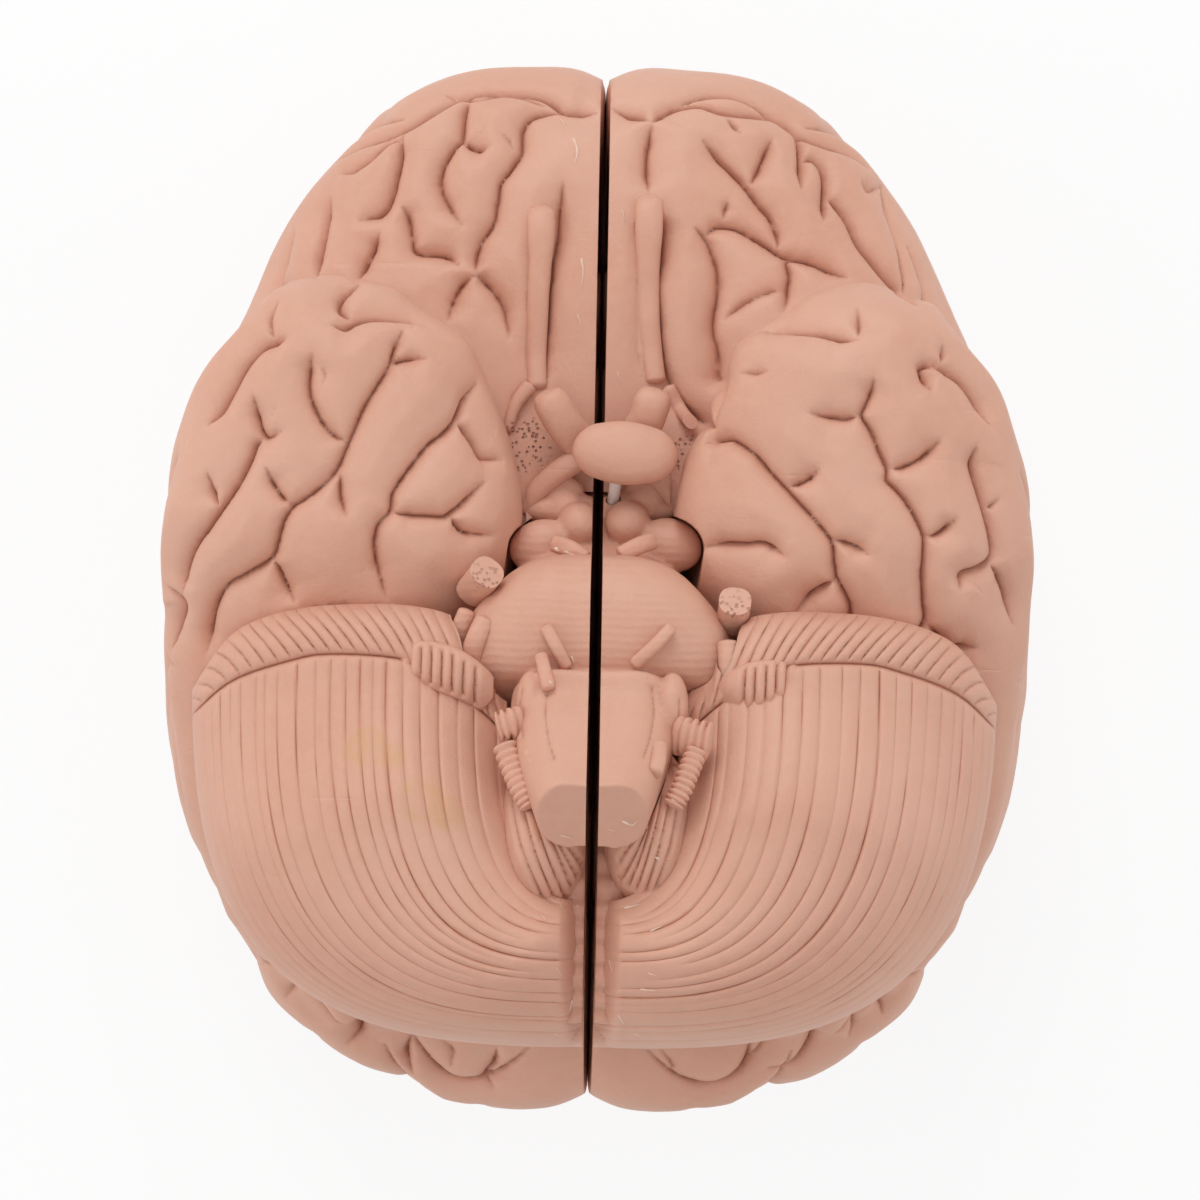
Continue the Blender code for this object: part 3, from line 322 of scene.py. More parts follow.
def strand(name, points, width, height, sides=20, steps=12, ribs=0, rib_depth=0.0, cap=(0.0, 0.0)):
    """Flattened cord along drawn points: width across the view, height along Z.

    cap is how far each end is rounded, in millimetres.
    """
    path = smooth_path(points, steps)
    run = [0.0]
    for here, there in zip(path, path[1:]):
        run.append(run[-1] + (there - here).length)
    rings = []
    for i, centre in enumerate(path):
        heading = path[min(i + 1, len(path) - 1)] - path[max(i - 1, 0)]
        across = heading.cross(Vector((0, 0, 1))).normalized()
        upright = across.cross(heading).normalized()
        share = i / (len(path) - 1)
        pinch = 1 - rib_depth * abs(math.cos(math.pi * ribs * share)) ** 3 if ribs else 1.0
        for along, length in ((run[i], cap[0]), (run[-1] - run[i], cap[1])):
            if along < length:
                pinch *= 0.35 + 0.65 * math.sqrt(1 - (1 - along / length) ** 2)
        wide = between(width, share) / 2 * pinch
        tall = between(height, share) / 2 * pinch
        ring = []
        for k in range(sides):
            angle = math.tau * (k + 0.5) / sides
            u = math.copysign(abs(math.cos(angle)) ** 0.8, math.cos(angle))
            v = math.copysign(abs(math.sin(angle)) ** 0.8, math.sin(angle))
            ring.append(place(*(centre + across * wide * u + upright * tall * v)))
        rings.append(ring)
    return loft(name, rings)


def convex_hull(points):
    """Mesh of the hull round some points, with its faces turned outwards."""
    shape = bmesh.new()
    for point in points:
        shape.verts.new(point)
    bmesh.ops.remove_doubles(shape, verts=shape.verts, dist=0.3 * MM)
    result = bmesh.ops.convex_hull(shape, input=shape.verts)
    inner = {item for item in result["geom_interior"] + result["geom_unused"]
             if isinstance(item, bmesh.types.BMVert)}
    bmesh.ops.delete(shape, geom=list(inner), context="VERTS")
    bmesh.ops.recalc_face_normals(shape, faces=shape.faces)
    shape.normal_update()
    return shape


def swept_hull(name, forms, clearance, moves):
    """Convex block round the forms and the way along which they move, grown by a clearance."""
    tight = convex_hull([vertex.co for form in forms for vertex in form.data.vertices])
    grown = [vertex.co + vertex.normal * clearance * min(vertex.calc_shell_factor(), SHELL_LIMIT)
             for vertex in tight.verts]
    tight.free()
    swept = convex_hull([point + move for point in grown for move in [Vector((0, 0, 0))] + moves])
    form = new_object(name, [], [])
    swept.to_mesh(form.data)
    swept.free()
    return form


def points_of(mesh):
    data = np.empty(len(mesh.vertices) * 3, dtype=np.float32)
    mesh.vertices.foreach_get("co", data)
    return data.reshape(-1, 3).astype(np.float64)


def set_points(mesh, points):
    mesh.vertices.foreach_set("co", points.astype(np.float32).ravel())
    mesh.update()


def normals_of(mesh):
    data = np.empty(len(mesh.vertices) * 3, dtype=np.float32)
    mesh.vertex_normals.foreach_get("vector", data)
    return data.reshape(-1, 3).astype(np.float64)


def skin_of(form):
    """Search tree over the faces of a form."""
    shape = bmesh.new()
    shape.from_mesh(form.data)
    skin = BVHTree.FromBMesh(shape)
    shape.free()
    return skin


def write_mark(form, name, values):
    """Keeps one number for each point of a mesh, for the finish to read."""
    marks = form.data.attributes.new(name, "FLOAT", "POINT")
    marks.data.foreach_set("value", np.asarray(values, dtype=np.float32))


def mark_hollow_shade(form):
    """Writes how hollow the surface is round each point: 0 where it is flat or bulges, 1 in a crease. The
    finish reads it to paint shade into the creases.
    """
    mesh = form.data
    points = points_of(mesh)
    normals = normals_of(mesh)
    ends = np.empty(len(mesh.edges) * 2, dtype=np.int32)
    mesh.edges.foreach_get("vertices", ends)
    first, second = ends.reshape(-1, 2).T
    span = points[second] - points[first]
    length = np.maximum(np.linalg.norm(span, axis=1), 1e-9)
    count = np.bincount(first, minlength=len(points)) + np.bincount(second, minlength=len(points))
    count = np.maximum(count, 1)
    rise = np.bincount(first, (span * normals[first]).sum(axis=1) / length, len(points))
    rise += np.bincount(second, -(span * normals[second]).sum(axis=1) / length, len(points))
    hollow = np.clip(rise / count * 3.0, 0.0, 1.0)
    for turn in range(2):
        around = np.bincount(first, hollow[second], len(points))
        around += np.bincount(second, hollow[first], len(points))
        hollow = np.maximum(hollow * 0.9, 0.5 * hollow + 0.5 * around / count)
    # Mark of painted shade: the vinyl is tinted darker and redder where this is high, as shade in the folds.
    write_mark(form, "crease", hollow)


def mark_spots(form, name, spots):
    """Writes where patches of a finish lie: 1 inside each (centre, radius), falling to 0 at its rim."""
    points = points_of(form.data)
    normals = normals_of(form.data)
    mask = np.zeros(len(points))
    for centre, radius in spots:
        away = np.linalg.norm(points - np.array(centre), axis=1) / radius
        mask = np.maximum(mask, np.clip((1 - away) * 3, 0.0, 1.0) * (normals[:, 2] > 0.2))
    write_mark(form, name, mask)


# Cerebrum: outline seen from the base, distance from the middle and place along the length
OUTLINE = [(0, 84.5), (7, 87), (20, 86.6), (34, 81.5), (43, 73.7), (52.4, 60.3), (58.7, 46.8),
           (65.2, 33.3), (69.5, 19.9), (72, 6.4), (72.8, -10), (71.4, -27), (68, -40.7),
           (62, -54.2), (55, -67), (48.3, -74.4), (37, -81.4), (22, -86.8), (8, -87.7), (0, -85)]
BASE_HEIGHT = [(-87, 20), (-60, 27), (-20, 34), (20, 35), (50, 37), (87, 33)]
CROWN_SQUARENESS = 0.80
BASE_SQUARENESS = 0.50
FORM_RINGS = 24

# Temporal lobe: place along the length, distance from the middle, height, half width, half height
TEMPORAL = [(50.3, 44, 89, 3, 2.5), (48, 43.5, 90, 9.7, 7), (45, 43, 91, 13, 10), (40, 41, 91.5, 19, 13),
            (33, 41.5, 91.5, 23.5, 14.5), (20, 41.5, 91.5, 28, 15.5), (8, 42, 91, 29.3, 16.5),
            (-4, 44, 87.5, 27, 16), (-20, 46.5, 81, 23.5, 14.5), (-40, 46.5, 75, 20.5, 13),
            (-60, 41, 68, 15, 10), (-74, 36, 62, 7, 6)]

# Where the side lobe parts from the rest, seen from the side: outer skin, then inner wall
OUTER_SPLIT = [(66, 104), (50, 86), (20, 72), (-10, 58), (-35, 50), (-50, 36), (-60, 15), (-66, -12)]
OUTER_SPLIT_START = 29.0
INNER_SPLIT = [(66.5, 104), (50, 86.8), (44, 85), (20, 86), (-25, 86), (-36, 68), (-50, 39), (-61.5, 12),
               (-66.5, -12)]
INNER_SPLIT_START = 12.0
BACK_SPLIT = [(-18, 104), (-28, 87), (-36, 70), (-50, 40.5), (-62, 12), (-67, -12)]
BACK_SPLIT_START = -20.0


# Folds that show in the picture, as pixels. Right half of the brain, then left half.
BASE_FOLDS = {
    RIGHT: [
        [(444, 89), (471, 90), (504, 85), (527, 86), (548, 92), (566, 104), (584, 106), (599, 109)],
        [(566, 105), (540, 107), (527, 114), (522, 127), (521, 147), (511, 164), (500, 180),
         (497, 199), (493, 221), (481, 240), (476, 258), (475, 272)],
        [(475, 273), (462, 284), (454, 300), (448, 319)],
        [(475, 273), (483, 279), (495, 293), (504, 309), (509, 337)],
        [(467, 92), (462, 106), (460, 132), (453, 141), (445, 155), (440, 169), (440, 185),
         (448, 203), (461, 223)],
        [(460, 132), (467, 140), (478, 145), (488, 144)],
        [(399, 128), (397, 152), (393, 175), (388, 196), (379, 210), (358, 218)],
        [(398, 135), (382, 136), (365, 152), (349, 164), (340, 171)],
        [(328, 196), (321, 215), (316, 240), (313, 256), (314, 275)],
        [(378, 231), (372, 245), (363, 263), (356, 279)],
        [(401, 204), (407, 215), (411, 235), (415, 249), (434, 252), (448, 255), (459, 264)],
        [(563, 182), (560, 210), (557, 240), (551, 272), (548, 314), (545, 348), (546, 378)],
        [(404, 326), (397, 343), (390, 365), (375, 388), (362, 410), (352, 433), (337, 466),
         (322, 483), (305, 496), (291, 506), (282, 520), (277, 538), (269, 562), (240, 580),
         (222, 590), (210, 609), (204, 635), (203, 655)],
        [(391, 364), (400, 359), (413, 356), (428, 357)],
        [(311, 353), (308, 370), (307, 385), (311, 402), (320, 420), (331, 433), (348, 442)],
        [(341, 468), (339, 485), (341, 500), (346, 517)],
        [(264, 467), (270, 482), (280, 496), (291, 505)],
        [(271, 562), (277, 575), (285, 592), (294, 605)],
        [(481, 382), (472, 398), (462, 417), (450, 430), (432, 443), (420, 457), (405, 475),
         (394, 492), (391, 511), (381, 522), (376, 535), (375, 552), (377, 568), (386, 600)],
        [(391, 513), (410, 515), (430, 516), (448, 517), (458, 511), (470, 501), (488, 481)],
        [(455, 517), (462, 528), (472, 536), (495, 537)],
        [(462, 419), (472, 428), (482, 442), (490, 455), (506, 459)],
        [(250, 394), (253, 415), (262, 435), (280, 431)],
        [(262, 437), (252, 443), (246, 458), (235, 478), (222, 498), (213, 511), (200, 530),
         (190, 543), (182, 558), (176, 578), (175, 596)],
        [(203, 472), (206, 492), (214, 508)],
        [(164, 588), (175, 607), (170, 625), (168, 648)],
        [(285, 335), (272, 337), (260, 341), (250, 349), (238, 365), (227, 385), (215, 407),
         (203, 424)],
        [(360, 280), (347, 284), (340, 293), (341, 303), (350, 313)],
        [(331, 322), (345, 321), (354, 315), (370, 310), (393, 310), (416, 314), (431, 324)],
        [(355, 1014), (359, 1033), (347, 1045)],
        [(412, 1034), (404, 1058), (410, 1078)],
        [(496, 1050), (493, 1068), (484, 1082), (492, 1093)],
    ],
    LEFT: [
        [(610, 105), (628, 109), (640, 111), (648, 118)],
        [(652, 121), (648, 138), (646, 155), (646, 171), (648, 190)],
        [(652, 120), (659, 110), (671, 103), (685, 99), (701, 98), (722, 105), (742, 107),
         (770, 108), (785, 112), (796, 119), (803, 131), (804, 145), (803, 165), (802, 186)],
        [(806, 156), (815, 152), (824, 158), (829, 169), (829, 184), (827, 202), (825, 217)],
        [(831, 192), (841, 200), (853, 216), (863, 238), (875, 254), (889, 271), (905, 288),
         (917, 302)],
        [(884, 184), (896, 212), (907, 240), (912, 266), (911, 290)],
        [(702, 137), (718, 154), (735, 171), (748, 186), (758, 200), (770, 214), (777, 231),
         (779, 248)],
        [(773, 136), (767, 148), (759, 167), (750, 184)],
        [(706, 236), (711, 228), (720, 224), (737, 227), (754, 236), (770, 246), (781, 253),
         (798, 257), (813, 260), (827, 266), (848, 276)],
        [(781, 254), (787, 262), (789, 274), (787, 290), (784, 309)],
        [(694, 226), (706, 238), (712, 252), (717, 269), (718, 288), (714, 311), (712, 330),
         (716, 347), (717, 364), (714, 385), (710, 416)],
        [(664, 215), (663, 231), (661, 262), (656, 288), (658, 316), (661, 352), (666, 374),
         (676, 397), (697, 418), (708, 425)],
        [(700, 442), (708, 437), (721, 436), (731, 440), (750, 453), (765, 469), (779, 483),
         (796, 500), (813, 519), (826, 536), (832, 550), (834, 572), (836, 584), (844, 599),
         (850, 614), (850, 633), (852, 647)],
        [(783, 485), (797, 482), (809, 476), (819, 468)],
        [(829, 540), (845, 545), (859, 551), (870, 557)],
        [(835, 585), (822, 592), (806, 602), (793, 618)],
        [(875, 377), (871, 392), (865, 406), (862, 414), (872, 431), (880, 450), (888, 468),
         (888, 479), (897, 487), (908, 500), (918, 517), (926, 538), (926, 558), (924, 580),
         (925, 604), (926, 626), (918, 640), (906, 658)],
        [(862, 414), (848, 417), (830, 416), (809, 412)],
        [(889, 469), (903, 466), (918, 460), (930, 452), (942, 440)],
        [(927, 539), (940, 535), (950, 527), (958, 519)],
        [(927, 627), (940, 641), (951, 652), (963, 652), (977, 650)],
        [(762, 328), (777, 323), (796, 323), (818, 326), (840, 333), (857, 338)],
        [(944, 361), (929, 362), (924, 366), (927, 378), (934, 390)],
        [(931, 362), (952, 368), (969, 380), (984, 402), (993, 423)],
        [(980, 445), (977, 463), (984, 487), (991, 509), (997, 533), (999, 553), (994, 564),
         (981, 572), (965, 578), (962, 592)],
        [(995, 566), (1006, 580), (1014, 600), (1017, 625)],
        [(702, 549), (718, 547), (740, 547), (759, 546), (770, 551), (783, 558)],
        [(751, 1040), (748, 1065), (735, 1085), (700, 1095)],
        [(815, 1024), (811, 1048), (795, 1070), (770, 1072)],
        [(884, 991), (884, 1016)],
    ],
}

# Folds of the outer side: place along the length and height
SIDE_FOLDS = [
    [(-6, 16), (-4, 24), (-2, 33), (4, 42), (6, 52), (12, 62)],
    [(14, 28), (17, 42), (22, 54), (24, 64)],
    [(-24, 16), (-20, 24), (-18, 34), (-12, 44), (-6, 52)],
    [(17, 40), (30, 38), (44, 42), (56, 46), (66, 50)],
    [(28, 24), (40, 27), (50, 32), (62, 32)],
    [(34, 74), (36, 66), (34, 58)],
    [(44, 78), (50, 72), (58, 70)],
    [(66, 56), (76, 60), (78, 70)],
    [(-30, 22), (-42, 22), (-54, 26)],
    [(-24, 50), (-32, 42), (-34, 34)],
    [(-42, 40), (-46, 30)],
    [(50, 87), (36, 79.5), (20, 72), (5, 65), (-10, 58), (-22, 54)],
    [(44, 92), (28, 84), (10, 75), (-8, 68), (-24, 62), (-36, 58)],
    [(20, 96), (4, 88), (-12, 82), (-28, 78), (-44, 74)],
    [(-66, 44), (-62, 54), (-64, 66)],
    [(-60, 26), (-66, 34), (-72, 42)],
    [(-52, 68), (-64, 70), (-74, 66)],
]

# Folds of the front and of the back end: distance from the middle and height
FRONT_FOLDS = [
    [(10, 74), (22, 70), (34, 72), (44, 66)],
    [(14, 58), (26, 54), (36, 58)],
    [(12, 30), (16, 42), (12, 52)],
    [(28, 28), (32, 38), (28, 46)],
    [(44, 56), (40, 48), (44, 40)],
]
BACK_FOLDS = [
    [(12, 36), (20, 44), (18, 56)],
    [(30, 30), (34, 42), (30, 54), (34, 64)],
    [(44, 36), (50, 48), (46, 58)],
    [(10, 66), (22, 62), (30, 66)],
]

# Folds of the crown: distance from the middle and place along the length
CROWN_FOLDS = [
    [(4, -24), (14, -20), (24, -17), (36, -14), (48, -8), (59, -6)],
    [(12, -36), (24, -32), (36, -30), (48, -27), (59, -24)],
    [(22, 2), (34, 4), (46, 6), (56, 9)],
    [(30, 4), (30, 18), (28, 32), (29, 46), (26, 60), (22, 72)],
    [(50, 14), (48, 26), (49, 38), (44, 50)],
    [(38, -31), (40, -42), (37, -54), (38, -66)],
    [(10, 54), (18, 48), (20, 40)],
    [(10, 30), (17, 26), (20, 18)],
    [(12, -6), (20, -3)],
    [(6, -58), (16, -60), (24, -56)],
    [(14, -46), (24, -45)],
    [(50, -40), (56, -48), (52, -58)],
]

# Folds of the flat middle face: place along the length and height
MIDDLE_FOLDS = [
    [(28, 64), (36, 62), (38, 54), (32, 44), (16, 34), (-8, 33), (-26, 38), (-36, 48), (-35, 58)],
    [(40, 76), (52, 64), (54, 50), (46, 36), (30, 27), (10, 24), (-10, 25), (-26, 26), (-32, 14)],
    [(-36, 62), (-50, 66), (-66, 62), (-80, 56)],
    [(-50, 64), (-56, 48), (-62, 34), (-66, 26)],
    [(44, 79), (56, 75), (68, 66)],
]


def cerebrum_form(side):
    """Smooth half of the cerebrum, before its folds."""
    outline = smooth_path([(x, y, 0) for x, y in OUTLINE], 6)
    rings = []
    for row in range(-FORM_RINGS, FORM_RINGS + 1):
        angle = row / FORM_RINGS * math.radians(88.5)
        square = BASE_SQUARENESS if row > 0 else CROWN_SQUARENESS
        spread = math.cos(angle) ** square
        lift = math.copysign(abs(math.sin(angle)) ** square, angle)
        ring = []
        for point in outline:
            rise = between(BASE_HEIGHT, point.y) if row > 0 else WIDEST_LEVEL
            at = place(point.x * spread, point.y * spread, WIDEST_LEVEL + rise * lift)
            at.x = side * max(at.x, 0.0)
            ring.append(at)
        rings.append(ring)
    body = loft("cerebrum_body", rings)
    centres = smooth_path([(y, x, z) for y, x, z, wide, tall in TEMPORAL], 5)
    sizes = smooth_path([(wide, tall, 0) for y, x, z, wide, tall in TEMPORAL], 5)
    rings = []
    for centre, size in zip(centres, sizes):
        y, x, z = centre
        ring = []
        for k in range(60):
            angle = math.tau * k / 60
            u = math.copysign(abs(math.cos(angle)) ** 0.85, math.cos(angle))
            v = math.copysign(abs(math.sin(angle)) ** 0.85, math.sin(angle))
            ring.append(place(side * (x + size.x * u), y, z + size.y * v))
        rings.append(ring)
    merge(body, [loft("temporal_body", rings)])
    apply_modifier(body, "REMESH", mode="VOXEL", voxel_size=FORM_VOXEL)
    apply_modifier(body, "SMOOTH", factor=0.5, iterations=26)
    return body


# Folds that are too fine for the solids: on the base as pixels with their deepness, and on the hidden sides
FINE_BASE_FOLDS = {
    RIGHT: [([(272, 336), (267, 325), (268, 311), (278, 299)], 0.45),
            ([(270, 283), (275, 285), (281, 284)], 0.6),
            ([(500, 130), (509, 138), (512, 150)], 0.3), ([(352, 1000), (341, 1004), (332, 1000)], 0.5),
            ([(289, 973), (292, 986), (284, 998)], 0.7), ([(440, 1040), (452, 1052), (449, 1070)], 0.4),
            ([(318, 360), (324, 372), (322, 384)], 0.25),
            ([(527, 206), (526, 240), (527, 300), (525, 350), (523, 384)], 0.12),
            ([(554, 206), (553, 240), (551, 300), (551, 350), (556, 378)], 0.16)],
    LEFT: [([(726, 110), (735, 123), (741, 132)], 0.6), ([(722, 222), (726, 206), (728, 199)], 0.6),
           ([(722, 320), (737, 308), (751, 299), (766, 292), (783, 287)], 0.5),
           ([(858, 337), (859, 322), (857, 307)], 0.6), ([(736, 370), (752, 371), (767, 370)], 0.45),
           ([(944, 361), (946, 351), (945, 342)], 0.6), ([(990, 507), (997, 505), (1004, 498)], 0.6),
           ([(864, 178), (872, 186), (884, 184)], 0.6), ([(855, 1006), (858, 1024), (850, 1038)], 0.6),
           ([(660, 1050), (672, 1068), (668, 1084)], 0.5),
           ([(635, 198), (635, 240), (636, 300), (637, 350), (640, 376)], 0.14),
           ([(664, 200), (661, 240), (661, 300), (664, 350), (670, 380)], 0.12)],
}
FINE_SIDE_FOLDS = [
    [(-6, 33), (-14, 30)], [(6, 52), (14, 50), (18, 46)], [(40, 27), (42, 20)], [(56, 46), (58, 38)],
    [(-34, 34), (-26, 30)], [(62, 32), (68, 40), (74, 42)], [(36, 79.5), (38, 72)], [(5, 65), (2, 58)],
    [(28, 84), (26, 90)], [(-8, 68), (-10, 76)], [(-12, 82), (-14, 90)], [(-56, 50), (-50, 56), (-50, 62)],
    [(-72, 42), (-78, 46)], [(30, 60), (40, 58), (48, 60)], [(20, 20), (24, 14)], [(-40, 14), (-44, 8)],
]
FINE_CROWN_FOLDS = [
    [(36, 6), (38, 14), (36, 22)], [(14, 66), (20, 74)], [(40, 60), (36, 68)], [(28, 32), (20, 34)],
    [(49, 38), (56, 40)], [(24, -32), (22, -40)], [(37, -54), (46, -56)], [(60, 20), (62, 30)],
    [(10, 10), (16, 14), (14, 22)], [(8, -72), (16, -74)], [(28, -72), (34, -74)], [(60, -32), (64, -22)],
]
FINE_MIDDLE_FOLDS = [
    [(10, 24), (8, 14), (12, 6)], [(-10, 25), (-16, 14), (-14, 5)], [(54, 50), (64, 50), (72, 56)],
    [(46, 36), (54, 28), (62, 30)], [(-30, 45), (-42, 40), (-50, 42)], [(32, 44), (36, 36)],
    [(-62, 34), (-72, 38)], [(30, 27), (32, 14)], [(-62, 64), (-66, 56)],
]


def deepened(folds, deep):
    return [(fold, deep) for fold in folds]


def fold_paths(side, skin):
    """Every fold of one half, as (points on the skin, deepness)."""
    eye = picture_eye()
    # Folds with their deepness, steps to a span, and the ray that throws a drawn point onto the skin
    kinds = [
        (deepened(BASE_FOLDS[side], 1.0) + FINE_BASE_FOLDS[side], 8,
         lambda p: (eye, place(*picture_point(p.x, p.y, WIDEST_LEVEL)) - eye)),
        (deepened(SIDE_FOLDS, 1.0) + deepened(FINE_SIDE_FOLDS, 0.7), 12,
         lambda p: (place(0, p.x, p.y) + Vector((side * FAR, 0, 0)), Vector((-side, 0, 0)))),
        (deepened(FRONT_FOLDS, 1.0), 12,
         lambda p: (place(side * p.x, 0, p.y) + Vector((0, FAR, 0)), Vector((0, -1, 0)))),
        (deepened(BACK_FOLDS, 1.0), 12,
         lambda p: (place(side * p.x, 0, p.y) - Vector((0, FAR, 0)), Vector((0, 1, 0)))),
        (deepened(CROWN_FOLDS, 1.0) + deepened(FINE_CROWN_FOLDS, 0.7), 12,
         lambda p: (place(side * p.x, p.y, 0) - Vector((0, 0, FAR)), Vector((0, 0, 1)))),
        (deepened(MIDDLE_FOLDS, 1.2) + deepened(FINE_MIDDLE_FOLDS, 1.0), 12,
         lambda p: (place(0, p.x, p.y) - Vector((side * FAR, 0, 0)), Vector((side, 0, 0)))),
    ]
    paths = []
    for folds, steps, ray in kinds:
        for fold, deep in folds:
            rays = [ray(p) for p in smooth_path([(across, along, 0) for across, along in fold], steps)]
            hits = [skin.ray_cast(start, way.normalized())[0] for start, way in rays]
            hits = [hit for hit in hits if hit is not None]
            if len(hits) > 3:
                paths.append((hits, deep))
    return paths


def press_folds(form, paths):
    """Presses the folds into the skin: a narrow crease along each, in a wide and shallow hollow."""
    points = points_of(form.data)
    normals = normals_of(form.data)
    crease = np.zeros(len(points))
    swell = np.zeros(len(points))
    for path, deep in paths:
        line = np.array([tuple(p) for p in path])
        low = line.min(axis=0) - SWELL_REACH
        high = line.max(axis=0) + SWELL_REACH
        near = np.nonzero(((points > low) & (points < high)).all(axis=1))[0]
        if not len(near):
            continue
        start = line[:-1]
        span = line[1:] - start
        size = np.maximum((span ** 2).sum(axis=1), 1e-12)
        best = np.full(len(near), 1.0)
        where = np.zeros(len(near))
        nearest = points[near]
        for i in range(len(start)):
            away = points[near] - start[i]
            share = np.clip(away @ span[i] / size[i], 0.0, 1.0)
            onto = away - share[:, None] * span[i]
            gap = np.linalg.norm(onto, axis=1)
            closer = gap < best
            best[closer] = gap[closer]
            where[closer] = i + share[closer]
            nearest[closer] = (points[near] - onto)[closer]
        beside = best < CREASE_PULL
        onto = nearest[beside] - points[near[beside]]
        across = normals[near[beside]]
        points[near[beside]] += onto - (onto * across).sum(axis=1)[:, None] * across
        best[beside] = 0.0
        ends = np.minimum(where, len(start) - where)
        taper = np.minimum(1.0, 0.25 + ends / 10) * deep
        inward = np.clip(1 - best / (SULCUS_SHOULDER * (0.6 + 0.4 * deep)), 0.0, 1.0)
        press = taper * rounded(inward, 2.2)
        hollow = eased(np.clip(1 - best / SWELL_REACH, 0.0, 1.0)) * taper
        crease[near] += press ** 4
        swell[near] += hollow ** 4
    crease = SULCUS_DEPTH * np.minimum(crease, 1.5) ** 0.25
    swell = SWELL_DEPTH * np.minimum(swell, 1.0) ** 0.25
    swell += np.array([noise(Vector(p) / RIPPLE_SIZE) for p in points]) * RIPPLE_DEPTH * MM
    middle = (np.abs(normals[:, 0]) > 0.8) & (np.abs(points[:, 0]) < MIDDLE_REACH)
    crease[middle] *= np.clip((points[middle, 2] - CLOSED_HEIGHT) / CLOSED_RAMP, 0.0, 1.0)
    swell[middle] = 0.0
    set_points(form.data, points - normals * (crease + swell)[:, None])
    return apply_modifier(form, "SMOOTH", factor=0.4, iterations=2)


def block_above(line, start, side, gap):
    """Block outside a wall, above a line that is seen from the side."""
    skin = [place(0, y, z) + Vector((0, gap / 2, -gap)) for y, z in line]
    skin.append(Vector((0, -FAR, skin[-1].z)))
    skin.append(Vector((0, -FAR, FAR)))
    skin.append(Vector((0, skin[0].y, FAR)))
    rings = []
    for x in (side * (start * MM - gap), side * FAR):
        rings.append([Vector((x, point.y, point.z)) for point in skin])
    return loft("split_block", rings)


def split_block(side, gap):
    """Block that holds the side lobe. A gap above zero grows it, below zero shrinks it."""
    first = block_above(OUTER_SPLIT, OUTER_SPLIT_START, side, gap)
    return join(first, [block_above(INNER_SPLIT, INNER_SPLIT_START, side, gap),
                        block_above(BACK_SPLIT, BACK_SPLIT_START, side, gap)])


def draped(points, skin):
    """Drawn points that lie their lift above the skin where it shows in the picture."""
    path = []
    for px, py, lift in points:
        hit = picture_hit(px, py, skin)
        path.append(picture_point(px, py, (hit.z / MM if hit else WIDEST_LEVEL) + lift))
    return path


def base_strands(side, skin):
    """Smell tract with its roots, optic nerve and optic tract of one half."""
    if side == RIGHT:
        tract = [(541, 205, -1.2), (541, 226, 0.3), (540, 262, -0.2), (538, 290, -0.4), (537, 322, -0.4),
                 (536, 355, -0.3), (537, 390, 0.0)]
        root = [(531, 384, 0.5), (516, 404, 0.6), (507, 432, -0.2)]
        nerve = [(547, 391, 91.5), (552, 403, 91), (563, 422, 90), (578, 440, 88.5), (596, 454, 87)]
        optic = [(596, 452, 87.5), (572, 463, 88), (548, 480, 87), (530, 500, 85.5), (519, 520, 83)]
    else:
        tract = [(649, 195, -1.2), (649, 218, 0.3), (648, 262, -0.2), (648, 290, -0.4), (649, 322, -0.4),
                 (652, 352, -0.3), (656, 384, 0.0)]
        root = [(666, 386, 0.5), (684, 415, 0.6), (706, 435, -0.2)]
        nerve = [(656, 389, 91.5), (652, 403, 91), (645, 422, 90), (632, 440, 88.5), (606, 454, 87)]
        optic = [(606, 452, 87.5), (636, 462, 88), (658, 478, 87), (674, 500, 85.5), (688, 526, 83)]
    bulb = [(0, 3.6), (0.08, 4.6), (0.2, 4.6), (0.36, 3.8), (1, 3.3)]
    return [strand("smell_tract", draped(tract, skin), bulb, [(0, 2.4), (0.12, 3.8), (1, 3.0)],
                   cap=(2.4, 0.8)),
            strand("smell_root", draped(root, skin), [(0, 2.6), (1, 1.8)], [(0, 2.6), (1, 2.4)],
                   cap=(0.6, 1.0)),
            strand("optic_nerve", [picture_point(*p) for p in nerve], [(0, 6.6), (0.4, 6.0), (1, 6)],
                   [(0, 6.2), (1, 5)], sides=28, cap=(3.2, 0)),
            strand("optic_tract", [picture_point(*p) for p in optic], [(0, 4.2), (1, 3.0)],
                   [(0, 4.8), (1, 4)], cap=(0, 0.8))]


# Cerebellum: arcs round a point on the middle line, inner arc to outer arc
ARC_CENTRE_Y = -8.4
ARC_WIDTHS = (14.0, 65.2)
ARC_LENGTHS = (41.5, 66.0)
ARC_SQUARENESS = 3.1
FISSURE = [(14, -24), (17, -21), (21.7, -17), (27, -13.8), (32, -11.8), (42, -11.4), (48, -12.4), (58, -16),
           (65.2, -22)]
FRONT_EDGE = [(14, -17), (18, -9), (21.6, -5), (28, -3.4), (36, -3.4), (43, -4), (51, -5.8), (58, -9.4),
              (65.2, -18)]
EDGE_LEVEL = 94.0
CROWN_LEVEL = 123.0
UNDERSIDE = [(0, 80), (0.4, 80), (0.75, 85), (1, 93)]
UNDER_STEPS = (1.0, 0.8, 0.5, 0.2, 0.0)
STRIP_SLANT = 3.0
FISSURE_DEPTH = 1.5
MIDDLE_ROUND = 4.5
# Trough by the slit for the worm: where it starts, how far it takes to fall, and how deep it is
RECESS_START = 5.0
RECESS_SPAN = 3.8
RECESS_DEPTH = 7.0
# Most that a groove takes of the thickness there
GROOVE_SHARE = 0.4


